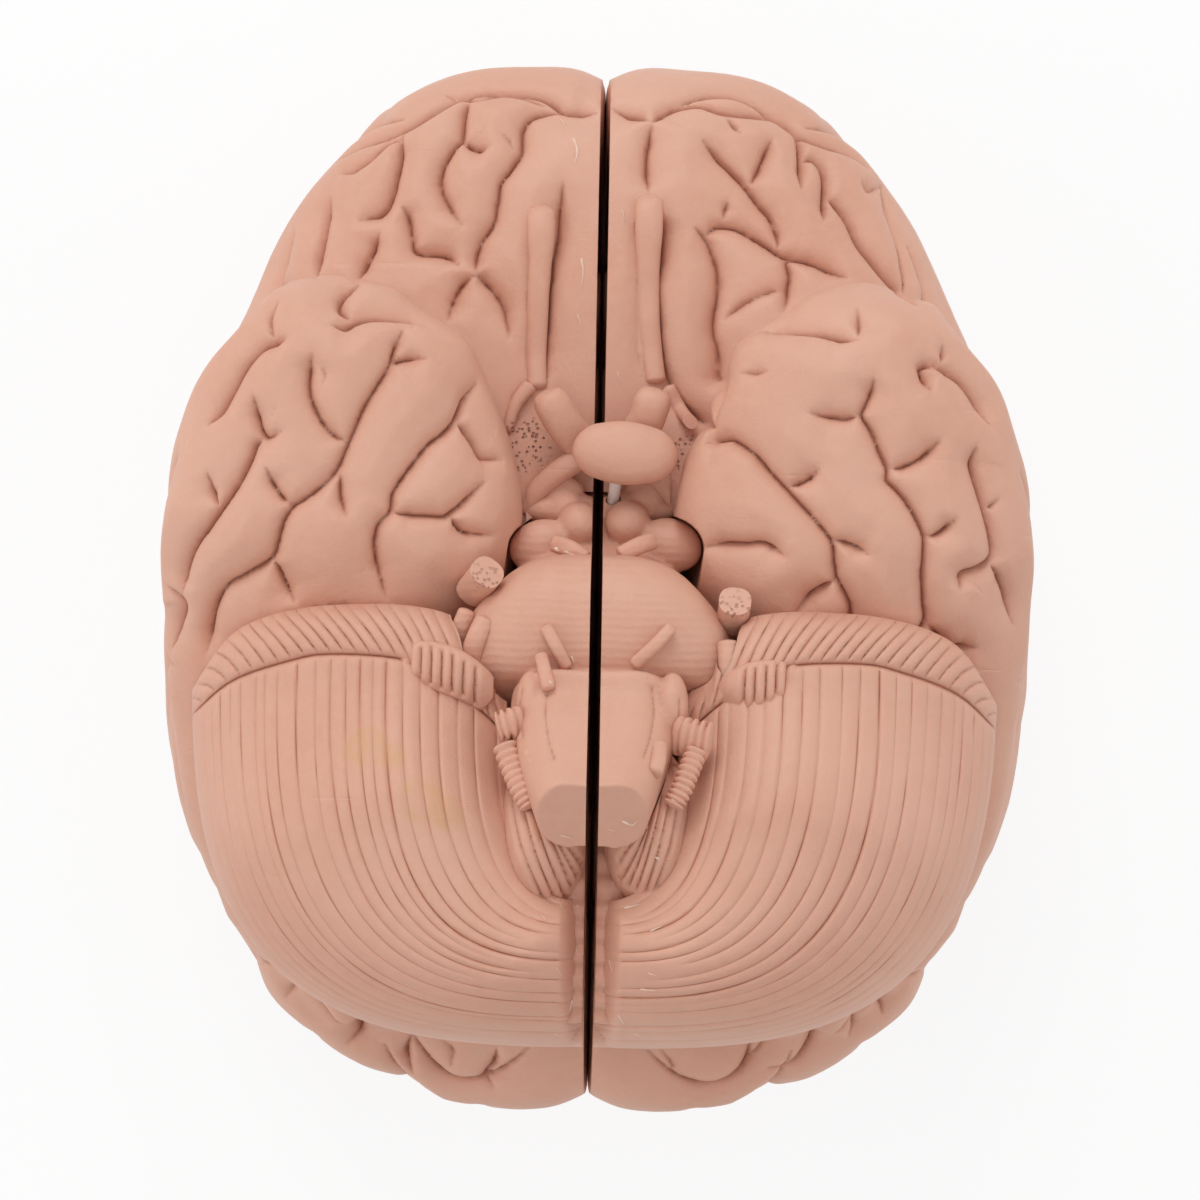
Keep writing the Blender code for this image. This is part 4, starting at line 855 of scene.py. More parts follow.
# Dark lines between the leaves, as pixels along one row of the picture, with how deep each one is
LEAF_ROW = 790
LEAF_ROW_LEVEL = 116
DEEP_LINE = 1.5
LEAF_LINES = {
    RIGHT: [(500, 0.8), (478, 1.0), (462, 0.7), (443, 1.1), (425, 0.8), (408, 0.7), (391, 1.9), (378, 0.7),
            (365, 1.0), (350, 0.8), (335, 1.1), (320, 0.7), (300, 1.1), (281, 0.9), (268, 1.1), (258, 0.7),
            (243, 1.0), (232, 0.8), (221, 0.9), (211, 0.7), (203, 0.8)],
    LEFT: [(690, 0.8), (712, 1.0), (722, 0.7), (740, 1.1), (757, 0.8), (775, 1.0), (795, 0.8), (812, 1.1),
           (835, 0.7), (853, 0.9), (872, 1.9), (890, 0.7), (905, 1.0), (922, 0.8), (937, 1.0), (950, 0.7),
           (960, 1.0), (972, 0.8), (982, 0.8), (990, 0.7)],
}
# Lines that end early: every so many, which of them, where it starts to fade along the arc, and over how much
SHORT_LINES = [(3, 1, 0.58, 0.16), (5, 3, 0.74, 0.12)]
STRIP_PITCH = 2.1
FOLD_SLANT = 3.4
STRIP_DEPTH = 0.8

# Short folds of the tonsil and the flocculus, as pixels
TONSIL_FOLDS = {
    RIGHT: [[(506, 752), (510, 800), (520, 850), (545, 905)],
            [(514, 750), (519, 795), (533, 850), (556, 903)],
            [(521, 758), (529, 800), (545, 850), (566, 899)],
            [(527, 775), (540, 812), (558, 852), (575, 893)],
            [(530, 795), (550, 828), (568, 858), (582, 884)],
            [(545, 812), (562, 835), (578, 858), (588, 872)]],
    LEFT: [[(684, 752), (680, 795), (672, 845), (655, 893)],
           [(676, 755), (671, 800), (660, 850), (646, 892)],
           [(668, 770), (660, 812), (648, 856), (636, 890)],
           [(660, 785), (650, 825), (638, 862), (627, 886)],
           [(655, 808), (642, 838), (628, 866), (618, 880)], [(643, 822), (630, 842), (618, 860)]],
}
FLOCCULUS_FOLDS = {
    RIGHT: [[(409, 640), (407, 690)], [(420, 640), (418, 694)], [(431, 644), (429, 698)],
            [(442, 650), (440, 702)], [(453, 654), (451, 706)], [(465, 662), (462, 708)],
            [(477, 668), (474, 710)]],
    LEFT: [[(755, 660), (753, 712)], [(767, 658), (765, 712)], [(778, 656), (776, 706)],
           [(789, 656), (787, 700)], [(744, 668), (742, 712)]],
}

# Grooves of the medulla beside its flat front, as pixels
MEDULLA_FOLDS = {
    RIGHT: [[(548, 684), (545, 712), (548, 738), (554, 758)], [(520, 690), (517, 712), (521, 736)]],
    LEFT: [[(653, 688), (655, 712), (651, 738), (645, 756)], [(681, 700), (680, 718), (676, 738)]],
}


# Brainstem: rings of points seen along its length
MEDULLA_SECTION = [(0, 0), (0.58, 0), (0.94, 0.24), (1, 0.55), (0.86, 0.84), (0.5, 1), (0, 1)]
RING_SPANS = 24


def ring_point(side, reach, share, front, back, inner):
    """Point of a ring, from how far out it is and how far it is from the front to the back."""
    y = front[0] + (back[0] - front[0]) * share
    z = front[1] + (back[1] - front[1]) * share
    at = place(max(reach, 0.0), y, z)
    at.x = side * (at.x + STEM_INSET if inner else -TRIM)
    return at


def half_ring(side, wide, front, back, square=0.8):
    """Half of an oval across the middle. front and back are drawn (y, z) points on the middle face."""
    points = []
    for k in range(RING_SPANS + 1):
        angle = math.pi * k / RING_SPANS
        reach = max(0.0, math.sin(angle)) ** square * wide
        points.append(ring_point(side, reach, (1 - math.cos(angle)) / 2, front, back, 0 < k < RING_SPANS))
    return points


def medulla_ring(side, wide, front, back):
    """Half of a faceted section: a flat front, a bevelled corner and a round back."""
    path = smooth_path([(reach, share, 0) for reach, share in MEDULLA_SECTION],
                       RING_SPANS // (len(MEDULLA_SECTION) - 1))
    return [ring_point(side, spot.x * wide, spot.y, front, back, 0 < k < RING_SPANS)
            for k, spot in enumerate(path)]


def smooth_loft(name, rings, steps=6):
    """Loft whose rings are joined by smooth curves."""
    columns = [smooth_path([ring[i] for ring in rings], steps) for i in range(len(rings[0]))]
    return loft(name, [[column[row] for column in columns] for row in range(len(columns[0]))])


def nerve_list(side):
    """Nerve stumps as (label, pixels with heights, width, height, ribs, caps, block of the brainstem)."""
    if side == RIGHT:
        return [
            ("trigeminal_nerve", [(470, 594, 101), (479, 583, 105), (487, 572, 109)], 5.4, 5.0, 0, (1.6, 0),
             "trigeminal"),
            ("oculomotor_nerve", [(553, 543, 96), (570, 549, 98), (586, 560, 99)], 2.9, 2.4, 0, (0.5, 0.3),
             "pons"),
            ("abducens_nerve", [(545, 626, 113), (556, 646, 113.8), (567, 668, 112.4)], 2.1, 2.2, 0,
             (0.4, 0.9), "pons"),
            ("middle_nerve", [(541, 656, 113.2), (545, 673, 116), (549, 690, 117)], 2.2, 2.2, 0, (0.4, 0.8),
             "pons"),
            ("facial_nerve", [(486, 618, 108.5), (474, 645, 109.4), (463, 690, 105)], 3.4, 3.2, 0, (0.8, 0.8),
             "facial"),
            ("hearing_nerve", [(468, 609, 106.4), (458, 635, 106), (453, 664, 103)], 3.0, 2.6, 0, (0.8, 0.8),
             "facial"),
            ("vagus_nerve", [(527, 720, 114.6), (511, 723, 117), (496, 727, 117)], 5.0, 2.8, 5, (0.5, 0.8),
             "vagus"),
            ("accessory_nerve", [(504, 744, 117), (513, 768, 119.6), (522, 789, 122), (532, 807, 123)], 4.1,
             2.8, 10, (0.6, 0.6), "vagus"),
            ("tongue_nerve", [(530, 750, 121), (538, 767, 124.4), (546, 783, 126.4)], 2.8, 2.6, 4, (0.8, 0.8),
             "medulla"),
        ]
    return [
        ("trigeminal_nerve", [(728, 626, 101), (733, 615, 104.6), (735, 601, 108.6)], 5.2, 5.0, 0, (1.6, 0),
         "trigeminal"),
        ("trigeminal_knob", [(696, 562, 107), (701, 574, 108.4)], 3.0, 3.0, 0, (1.2, 1.2), "pons"),
        ("oculomotor_nerve", [(653, 541, 96), (638, 546, 98), (619, 556, 99)], 2.9, 2.4, 0, (0.5, 0.3),
         "pons"),
        ("abducens_nerve", [(672, 627, 113), (654, 646, 113.8), (633, 665, 112.4)], 2.1, 2.2, 0, (0.4, 0.9),
         "pons"),
        ("facial_nerve", [(727, 640, 108.5), (729, 675, 109.4), (727, 715, 105)], 3.4, 3.2, 0, (0.8, 0.8),
         "facial"),
        ("hearing_nerve", [(741, 640, 105), (749, 650, 105.4), (748, 664, 103)], 2.8, 2.6, 0, (0.8, 0.8),
         "facial"),
        ("vagus_nerve", [(662, 733, 111.5), (686, 737, 116.6), (712, 742, 118.4)], 6.4, 2.8, 7, (0.5, 0.8),
         "vagus"),
        ("accessory_nerve", [(697, 750, 118.6), (689, 770, 121), (681, 790, 122.6), (672, 807, 123.2)], 3.7,
         2.8, 10, (0.6, 0.6), "vagus"),
        ("tongue_nerve", [(659, 745, 121), (658, 760, 124), (654, 775, 126)], 2.6, 2.6, 0, (0.8, 0.8),
         "medulla"),
    ]


def brainstem(side):
    """Midbrain, pons and medulla of one half with its nerve stumps, and the convex blocks that hold them."""
    rings = [
        half_ring(side, 9.5, (13, 50), (-14, 54)),
        half_ring(side, 11.5, (15.5, 60), (-19, 60)),
        half_ring(side, 11.5, (15.5, 70), (-18, 70)),
        half_ring(side, 11, (15.5, 80), (-16, 78)),
        half_ring(side, 11, (13, 87), (-14, 84)),
        half_ring(side, 13, (8.5, 88.5), (-13, 92)),
        half_ring(side, 14.5, (5, 96), (-14, 96)),
        half_ring(side, 13, (3, 104), (-20, 96)),
        medulla_ring(side, 11.6, (-12.4, 110.6), (-21, 98)),
        medulla_ring(side, 12.0, (-13.4, 115), (-24, 101)),
        medulla_ring(side, 12.0, (-17.5, 116.8), (-26, 104)),
        medulla_ring(side, 10.6, (-24, 124), (-33, 114)),
        medulla_ring(side, 7.6, (-31, 132), (-41, 124)),
    ]
    column = smooth_loft("brainstem_column", rings)
    pons = smooth_loft("pons", [
        half_ring(side, 14, (5.5, 98), (-12, 86), 0.7),
        half_ring(side, 17, (4.6, 106), (-16, 88), 0.7),
        half_ring(side, 20.5, (0, 111), (-18, 90), 0.7),
        half_ring(side, 21.5, (-7, 112.5), (-20, 94), 0.7),
        half_ring(side, 19, (-13, 111.5), (-21, 98), 0.7),
        half_ring(side, 12, (-15, 108), (-21, 101), 0.7),
    ])
    nipple = picture_point(579.5, 524, 89.4) if side == RIGHT else picture_point(627.5, 522.5, 89.4)
    olive = picture_point(531, 704, 113) if side == RIGHT else picture_point(672, 706, 113)
    olive_body = ellipsoid("olive", olive, (2.6, 5.4, 3.6))
    blocks = {"midbrain": [loft("midbrain", rings[:8])], "pons": [copy_of(pons)],
              "medulla": [loft("medulla", rings[7:]), copy_of(olive_body)], "trigeminal": [], "facial": [],
              "vagus": []}
    if side == RIGHT:
        trunk = [(578, 520, 87.6), (565, 506, 86.2), (562, 491, 85.4), (571, 476, 85)]
        bulge = picture_point(541, 546, 90.2)
    else:
        trunk = [(629, 520, 87.6), (643, 505, 86.2), (647, 490, 85.4), (638, 476, 85)]
        bulge = picture_point(670, 545, 90.2)
    peduncle = ellipsoid("peduncle", bulge, (5.3, 4.3, 3.4), turn=side * -0.35)
    blocks["midbrain"].append(copy_of(peduncle))
    merge(column, [pons, olive_body, peduncle, ellipsoid("mammillary_body", nipple, (3.7, 3.7, 3.8)),
                   ellipsoid("tuber", (side * 6.0, 12.8, 85), (7.0, 2.9, 3.2)),
                   strand("trunk", [picture_point(*p) for p in trunk], [(0, 5.5), (1, 6.5)],
                          [(0, 4.6), (1, 4.6)], cap=(1, 1))])
    apply_modifier(column, "REMESH", mode="VOXEL", voxel_size=STEM_VOXEL)
    apply_modifier(column, "SMOOTH", factor=0.5, iterations=3)
    apply_modifier(column, "DECIMATE", decimate_type="COLLAPSE",
                   ratio=min(1.0, STEM_FACES / (2 * len(column.data.polygons))))
    nerves = []
    for label, points, wide, tall, ribs, cap, block in nerve_list(side):
        nerve = strand(label, [picture_point(*p) for p in points], [(0, wide), (1, wide)],
                       [(0, tall), (1, tall)], steps=24, ribs=ribs, rib_depth=0.28, cap=cap)
        blocks[block].append(copy_of(nerve))
        nerves.append(nerve)
    press_lines(column, picture_paths(MEDULLA_FOLDS[side], skin_of(column)), 0.6 * MM, 2.2 * MM)
    join(column, nerves)
    column.name = "vinyl_brainstem_" + WORDS[side]
    return trim_middle(column, side), list(blocks.values())


# Cerebellum: its leaves run on arcs round a point on the middle line
def arc_size(share):
    """Half width and length of the arc that lies a share of the way out."""
    wide = ARC_WIDTHS[0] + (ARC_WIDTHS[1] - ARC_WIDTHS[0]) * share
    return wide, ARC_LENGTHS[0] + (ARC_LENGTHS[1] - ARC_LENGTHS[0]) * share


def arc_point(share, turn):
    """Drawn x and y on the arc that lies a share of the way out, at an angle from the side."""
    wide, long = arc_size(share)
    power = ARC_SQUARENESS
    size = (abs(math.cos(turn)) ** power + abs(math.sin(turn)) ** power) ** (1 / power)
    return wide * math.cos(turn) / size, ARC_CENTRE_Y - long * math.sin(turn) / size


def start_turn(share):
    """Angle at which an arc meets the fissure behind the front strip."""
    ahead, behind = -0.2, 1.2
    for halving in range(24):
        turn = (ahead + behind) / 2
        x, y = arc_point(share, turn)
        if y > along_line(FISSURE, x):
            ahead = turn
        else:
            behind = turn
    return ahead


def dome_level(share, along):
    """Height of the underside of the cerebellum as it lies here, which faces up."""
    if share > 0.3:
        dome = math.sqrt(max(0.0, 1 - ((share - 0.3) / 0.7) ** 2)) ** 0.9
    else:
        dome = 1 - 0.2 * ((0.3 - share) / 0.3) ** 2
    fall = between([(0, 0.66), (0.3, 1.0), (0.75, 1.0), (1, 0.84)], along)
    return EDGE_LEVEL + (CROWN_LEVEL - EDGE_LEVEL) * dome * fall


def line_share(px, steps=400):
    """Share of the way out at which a pixel of the leaf row lies."""
    x, y = picture_point(px, LEAF_ROW, LEAF_ROW_LEVEL)[:2]
    for step in range(1, steps):
        share = step / steps
        wide, long = arc_size(share)
        fall = min(1.0, abs((y - ARC_CENTRE_Y) / long))
        if wide * (1 - fall ** ARC_SQUARENESS) ** (1 / ARC_SQUARENESS) >= abs(x):
            return share
    return 1.0


def leaf_grooves(side, marks, shares, run, along):
    """Depth of the lines between the leaves, from each point's share and run of the way out."""
    depth = np.zeros(len(shares))
    waist = np.zeros(len(shares))
    for i, (share, deep) in enumerate(marks):
        sway = 0.006 * noise(Vector((i * 3.7, along * 3.0, side * 5.0)))
        fade = 0.8 + 0.45 * noise(Vector((along * 4.0, i * 5.3, side * 2.0)))
        for every, which, begin, length in SHORT_LINES:
            if i % every == which and deep < DEEP_LINE:
                fade *= 1 - min(1.0, max(0.0, (along - begin) / length))
        away = np.abs(run - np.interp(share + sway, shares, run))
        inward = np.clip(1 - away / LINE_REACH, 0.0, 1.0)
        broad = np.clip(1 - away / (2.2 * LINE_REACH), 0.0, 1.0)
        depth = np.maximum(depth, deep * max(0.0, fade) * rounded(inward))
        waist = np.maximum(waist, max(0.0, fade) * broad ** 2)
    return depth * LINE_DEPTH + waist * LINE_WAIST


def strip_grooves(wides, strip):
    """Depth of the slanted folds of the front strip at each distance from the middle."""
    place_in = (wides - FOLD_SLANT * strip ** 1.3) / STRIP_PITCH
    inward = np.abs(place_in - np.floor(place_in) - 0.5) * 2
    return STRIP_DEPTH * rounded(inward, 2.4)


def cerebellum_hemisphere(side):
    """Rows of points that run across the leaves, from the front edge to the middle face."""
    columns = 300
    rows = 140
    strip_rows = 24
    shares = np.linspace(0.0, 1.0, columns + 1)
    starts = [start_turn(share) for share in shares]
    front_line = [along_line(FRONT_EDGE, arc_size(share)[0]) for share in shares]
    marks = sorted((line_share(px), deep) for px, deep in LEAF_LINES[side])
    edge_fade = np.clip(shares / 0.02, 0, 1) * np.clip((1 - shares) / 0.01, 0, 1)
    rings = []
    for row in range(-strip_rows, rows + 1):
        step = max(0, row / rows)
        along = 0.65 * step + 0.35 * (0.5 - 0.5 * math.cos(math.pi * step))
        strip = -row / strip_rows if row < 0 else 0.0
        spots = []
        for column, (share, start) in enumerate(zip(shares, starts)):
            wide = arc_size(share)[0]
            end = math.acos(-TRIM / MM / wide)
            x, y = arc_point(share, start + (end - start) * along)
            first_x, first_y = arc_point(share, start)
            if strip:
                x += (wide + STRIP_SLANT * math.sin(math.pi * share) - x) * strip
                y += (front_line[column] - y) * strip
            spots.append((x, y, math.hypot(x - first_x, y - first_y), wide))
        spots = np.array(spots)
        run = np.concatenate([[0.0], np.cumsum(np.hypot(np.diff(spots[:, 0]), np.diff(spots[:, 1])))])
        if strip:
            groove = strip_grooves(spots[:, 3], strip)
        else:
            groove = leaf_grooves(side, marks, shares, run, along)
        groove = groove * edge_fade * np.clip(spots[:, 2] / 1.2, 0.0, 1.0)
        groove += 0.8 * FISSURE_DEPTH * rounded(np.clip(1 - spots[:, 2] / 1.8, 0.0, 1.0))
        groove += MIDDLE_ROUND * rounded(1 - np.clip(spots[:, 0] / MIDDLE_ROUND, 0.0, 1.0))
        recess = np.clip((RECESS_START - spots[:, 0]) / RECESS_SPAN, 0.0, 1.0)
        groove += RECESS_DEPTH * recess * recess * (3 - 2 * recess)
        points = []
        for (x, y), share, deep in zip(spots[:, :2], shares, groove):
            high = dome_level(share, along)
            deep = min(deep, GROOVE_SHARE * max(0.0, high - between(UNDERSIDE, share)))
            drop = 0.2 * (high - between(UNDERSIDE, share)) * (1 - math.sqrt(1 - min(strip, 0.98) ** 2.6))
            points.append(place(side * x, y, high - drop * 1.25 - deep))
        for share in UNDER_STEPS:
            x, y = spots[round(share * columns), :2]
            low = between(UNDERSIDE, share)
            middle = 0.8 * dome_level(share, along) + 0.2 * low
            points.append(place(side * x, y, low + (middle - 1.6 - low) * strip))
        rings.append(points)
    return loft("vinyl_cerebellum_" + WORDS[side], rings)


def picture_paths(lines, skin):
    """Traced pixels as paths on a skin."""
    paths = []
    for line in lines:
        hits = [picture_hit(p.x, p.y, skin) for p in smooth_path([(px, py, 0) for px, py in line], 8)]
        paths.append([hit for hit in hits if hit is not None])
    return [path for path in paths if len(path) > 3]


def press_lines(form, paths, depth, shoulder):
    """Presses small grooves into a skin along paths on it."""
    points = points_of(form.data)
    normals = normals_of(form.data)
    press = np.zeros(len(points))
    for path in paths:
        line = np.array([tuple(p) for p in path])
        near = np.nonzero(((points > line.min(axis=0) - shoulder)
                           & (points < line.max(axis=0) + shoulder)).all(axis=1))[0]
        if not len(near):
            continue
        best = np.full(len(near), 1.0)
        for start, stop in zip(line, line[1:]):
            span = stop - start
            away = points[near] - start
            share = np.clip(away @ span / max(span @ span, 1e-12), 0.0, 1.0)
            best = np.minimum(best, np.linalg.norm(away - share[:, None] * span, axis=1))
        inward = np.clip(1 - best / shoulder, 0.0, 1.0)
        press[near] = np.maximum(press[near], depth * rounded(inward))
    set_points(form.data, points - normals * press[:, None])
    return form


def cerebellum(side):
    """Half of the cerebellum: leaves, tonsil, flocculus, core and the stepped worm by the slit."""
    form = cerebellum_hemisphere(side)
    rings = []
    for y, size in ((-17, 0.7), (-24, 1.0), (-44, 1.0), (-62, 0.8)):
        ring = []
        for x, z in ((0, 80), (12, 79), (22, 84), (22, 96), (14, 104), (5, 106), (0, 106)):
            at = place(x * size, y, 90 + (z - 90) * size)
            at.x = side * (at.x if x > 0 else -TRIM)
            ring.append(at)
        rings.append(ring)
    core = loft("core", rings)
    if side == RIGHT:
        tonsil = picture_point(543, 831, 110.6)
        flocculus = [(401, 656, 110), (430, 663, 112), (462, 677, 111.6), (490, 696, 109)]
    else:
        tonsil = picture_point(648, 826, 110.6)
        flocculus = [(801, 676, 110), (772, 681, 112), (744, 689, 111), (726, 702, 108)]
    lobe = ellipsoid("tonsil", tonsil, (7.4, 12.9, 12.8), segments=144, rings=96)
    press_lines(lobe, picture_paths(TONSIL_FOLDS[side], skin_of(lobe)), 1.1 * MM, 1.1 * MM)
    tuft = strand("flocculus", [picture_point(*p) for p in flocculus], [(0, 5.4), (0.5, 7.6), (1, 6)],
                  [(0, 4), (0.5, 6), (1, 5)], sides=72, steps=40, cap=(2.0, 1.0))
    press_lines(tuft, picture_paths(FLOCCULUS_FOLDS[side], skin_of(tuft)), 1.3 * MM, 1.0 * MM)
    line = [(side * 3.2, -38, 106), (side * 3.2, -50, 109.8), (side * 3.0, -60, 109.8),
            (side * 2.8, -69, 105)]
    worm = strand("worm", line, [(0, 7), (1, 7)], [(0, 7), (1, 7)], sides=40, steps=90, ribs=9, rib_depth=0.2,
                  cap=(1.5, 1.5))
    return trim_middle(join(form, [core, lobe, tuft, worm]), side)


# Pituitary gland on its pin, and the pegs
PITUITARY_PLACE = picture_point(625, 453, 95.6)
PITUITARY_SIZE = (17.3 * MM, 10.4 * MM, 7.4 * MM)
PIN_TOP = (2.9, 18.0, 93.0)
PIN_WAY = Vector((-0.06, -0.5, -0.86)).normalized()
PIN_DIAMETER = 1.9 * MM
PIN_LENGTH = 9.0 * MM
PEG_CLEARANCE = 0.3 * MM
PEG_DIAMETER = 5.0 * MM
SMALL_PEG_DIAMETER = 4.0 * MM
HALF_PEG_LENGTH = 18.0 * MM
SIDE_PEG_LENGTH = 16.0 * MM
SMALL_PEG_LENGTH = 14.0 * MM

# How the castings come off: the way of the cerebellum, and how far each one travels
PULL_ANGLE = math.radians(35)
CEREBELLUM_PULL = Vector((0.0, -math.cos(PULL_ANGLE), math.sin(PULL_ANGLE)))
STEM_TRAVEL = 60 * MM
CEREBELLUM_TRAVEL = 80 * MM
LOBE_TRAVEL = 80 * MM


def deselect():
    for other in bpy.context.selected_objects:
        other.select_set(False)


def settle(name):
    """Names the active object and puts its place, turn and size into its mesh."""
    piece = bpy.context.active_object
    bpy.ops.object.transform_apply(location=True, rotation=True, scale=True)
    piece.name = name
    piece.data.name = name
    return piece


def select_in_edit(test, kind="VERT"):
    """Selects the parts of the mesh in edit mode that pass a test."""
    mesh = bmesh.from_edit_mesh(bpy.context.active_object.data)
    bpy.ops.mesh.select_all(action="DESELECT")
    mesh.select_mode = {kind}
    chosen = {"VERT": mesh.verts, "EDGE": mesh.edges, "FACE": mesh.faces}[kind]
    for part in chosen:
        if test(part):
            part.select = True
    mesh.select_flush_mode()
    bmesh.update_edit_mesh(bpy.context.active_object.data)


def pituitary():
    """Bean-shaped gland, a little squarer at its ends, with a shallow saddle on its upper side."""
    deselect()
    bpy.ops.mesh.primitive_uv_sphere_add(segments=48, ring_count=28, radius=0.5)
    bpy.ops.object.mode_set(mode="EDIT")
    select_in_edit(lambda v: abs(v.co.x) > 0.3)
    bpy.ops.transform.resize(value=(1.0, 1.08, 1.08), center_override=(0, 0, 0))
    select_in_edit(lambda v: v.co.z > 0.42 and abs(v.co.x) < 0.2)
    bpy.ops.transform.translate(value=(0, 0, -0.02))
    bpy.ops.object.mode_set(mode="OBJECT")
    piece = bpy.context.active_object
    piece.scale = PITUITARY_SIZE
    piece.rotation_euler = (0, 0, math.radians(-4))
    piece.location = place(*PITUITARY_PLACE)
    settle("vinyl_pituitary_gland")
    apply_modifier(piece, "SMOOTH", factor=0.5, iterations=4)
    apply_modifier(piece, "SUBSURF", levels=1, render_levels=1)
    return piece


def round_rod(name, start, end, diameter, bevel, segments, dimple=True):
    """Turned nylon rod between two points, with rounded rims and a gate dimple in each end."""
    deselect()
    length = (end - start).length
    bpy.ops.mesh.primitive_cylinder_add(vertices=40, radius=diameter / 2, depth=length)
    bpy.ops.object.mode_set(mode="EDIT")
    select_in_edit(lambda e: abs(e.verts[0].co.z - e.verts[1].co.z) < 1e-6, "EDGE")
    bpy.ops.mesh.bevel(offset=bevel, segments=segments, affect="EDGES")
    if dimple:
        select_in_edit(lambda f: len(f.verts) > 8, "FACE")
        bpy.ops.mesh.inset(thickness=diameter * 0.28)
        bpy.ops.transform.resize(value=(1, 1, 1 - 0.4 * MM / length), center_override=(0, 0, 0))
    bpy.ops.object.mode_set(mode="OBJECT")
    piece = bpy.context.active_object
    piece.rotation_euler = (end - start).to_track_quat("Z", "Y").to_euler()
    piece.location = (start + end) / 2
    settle(name)
    return piece


def peg_list():
    """Pegs as (node, middle, direction, diameter, length)."""
    pegs = []
    x = Vector((1, 0, 0))
    z = Vector((0, 0, 1))
    for label, spot in (("front", (0, 26, 15)), ("back", (0, -24, 15))):
        pegs.append(("hemisphere_peg_" + label, place(*spot), x, PEG_DIAMETER, HALF_PEG_LENGTH))
    for side, word in WORDS.items():
        for label, y, height in (("front", 14, 78), ("back", -10, 68)):
            pegs.append(("side_peg_%s_%s" % (word, label), place(side * OUTER_SPLIT_START, y, height), x,
                         PEG_DIAMETER, SIDE_PEG_LENGTH))
        pegs.append(("brainstem_peg_" + word, place(side * 5.5, -1, 51), z, SMALL_PEG_DIAMETER,
                     SMALL_PEG_LENGTH))
        pegs.append(("cerebellum_peg_" + word, place(side * 6.5, -16.5, 91), CEREBELLUM_PULL,
                     SMALL_PEG_DIAMETER, SMALL_PEG_LENGTH))
    return pegs


def bore(peg):
    """Hole for a peg, a little wider and longer than the peg."""
    middle, way, diameter, length = peg[1:]
    half = way.normalized() * (length / 2 + PEG_CLEARANCE)
    return round_rod("bore", middle - half, middle + half, diameter + 2 * PEG_CLEARANCE, 0.3 * MM, 1, False)


def pin_hole(start, end):
    return round_rod("pin_hole", start, end, PIN_DIAMETER + 2 * PEG_CLEARANCE, 0.2 * MM, 1, False)


# Trimmed flash that the moulds left, as short pixel lines with a width in millimetres, by node. A sliver is
# modelled at a share of that width.
SLIVER_SHARE = 0.6
FLASH = {
    "frontal_parietal_right": [([(573, 138), (577, 150), (575, 163)], 0.9),
                               ([(581, 258), (583, 272), (581, 288)], 0.7),
                               ([(577, 314), (581, 326)], 0.6), ([(560, 119), (566, 128)], 0.5)],
    "frontal_parietal_left": [([(617, 372), (621, 384)], 0.5), ([(622, 210), (625, 222)], 0.5)],
    "brainstem_right": [([(554, 548), (566, 552), (580, 558)], 1.2), ([(571, 656), (574, 664)], 0.8),
                        ([(549, 681), (554, 686)], 0.8), ([(560, 835), (572, 838)], 0.5)],
    "brainstem_left": [([(622, 821), (632, 825), (638, 819)], 0.7), ([(608, 829), (616, 831)], 0.5),
                       ([(671, 799), (678, 803)], 0.5)],
    "cerebellum_right": [([(577, 905), (581, 921)], 0.8), ([(576, 948), (579, 962)], 0.6),
                         ([(560, 905), (565, 912)], 0.6), ([(556, 968), (562, 976)], 0.5),
                         ([(572, 1000), (569, 1012)], 0.8), ([(553, 1033), (560, 1037)], 0.5),
                         ([(541, 915), (546, 921)], 0.5)],
    "cerebellum_left": [([(655, 857), (666, 863)], 0.9), ([(624, 908), (640, 904)], 0.8),
                        ([(650, 931), (662, 926)], 0.6), ([(640, 989), (657, 991)], 0.7),
                        ([(609, 960), (612, 972)], 0.6), ([(618, 1015), (624, 1024)], 0.6),
                        ([(648, 973), (657, 976)], 0.5), ([(634, 1034), (643, 1036)], 0.6)],
}

# Patches of the surface, as pixels with a height and a radius in drawn millimetres
DOTTED = {
    "frontal_parietal_right": [((531, 443, 86), 5.2), ((520, 452, 86), 4.2)],
    "frontal_parietal_left": [((681, 449, 86), 4.6), ((674, 441, 86), 3.4)],
    "brainstem_right": [((487, 573, 109), 3.0)],
    "brainstem_left": [((735, 602, 109), 3.0)],
}
STAINED = {"cerebellum_right": [((366, 749, 118), 4.4), ((392, 758, 119), 3.2), ((421, 801, 121), 4.6),
                                ((448, 815, 121), 3.6)]}
STRIATED = {
    "brainstem_right": [((520, 622, 108), 15.0), ((560, 600, 108), 15.0), ((532, 540, 96), 7.0)],
    "brainstem_left": [((690, 622, 108), 15.0), ((640, 600, 108), 15.0), ((676, 540, 96), 7.0)],
}


def shade(form, degrees):
    deselect()
    form.select_set(True)
    bpy.context.view_layer.objects.active = form
    bpy.ops.object.shade_smooth_by_angle(angle=math.radians(degrees))


def patches(table, node):
    return [(place(*picture_point(*spot)), radius * MM) for spot, radius in table.get(node, [])]


def flash(node, skin):
    """Thin slivers that lie on a casting where its flash was trimmed off."""
    slivers = []
    for line, broad in FLASH[node]:
        wide = SLIVER_SHARE * broad
        path = draped([(px, py, 0.05) for px, py in line], skin)
        slivers.append(strand("sliver", path, [(0, wide), (0.5, wide * 0.6), (1, wide * 0.25)],
                              [(0, 0.4), (1, 0.3)], sides=8, steps=6, cap=(0.3, 0.3)))
    piece = merge(slivers[0], slivers[1:])
    piece.name = "flash_" + node
    return piece


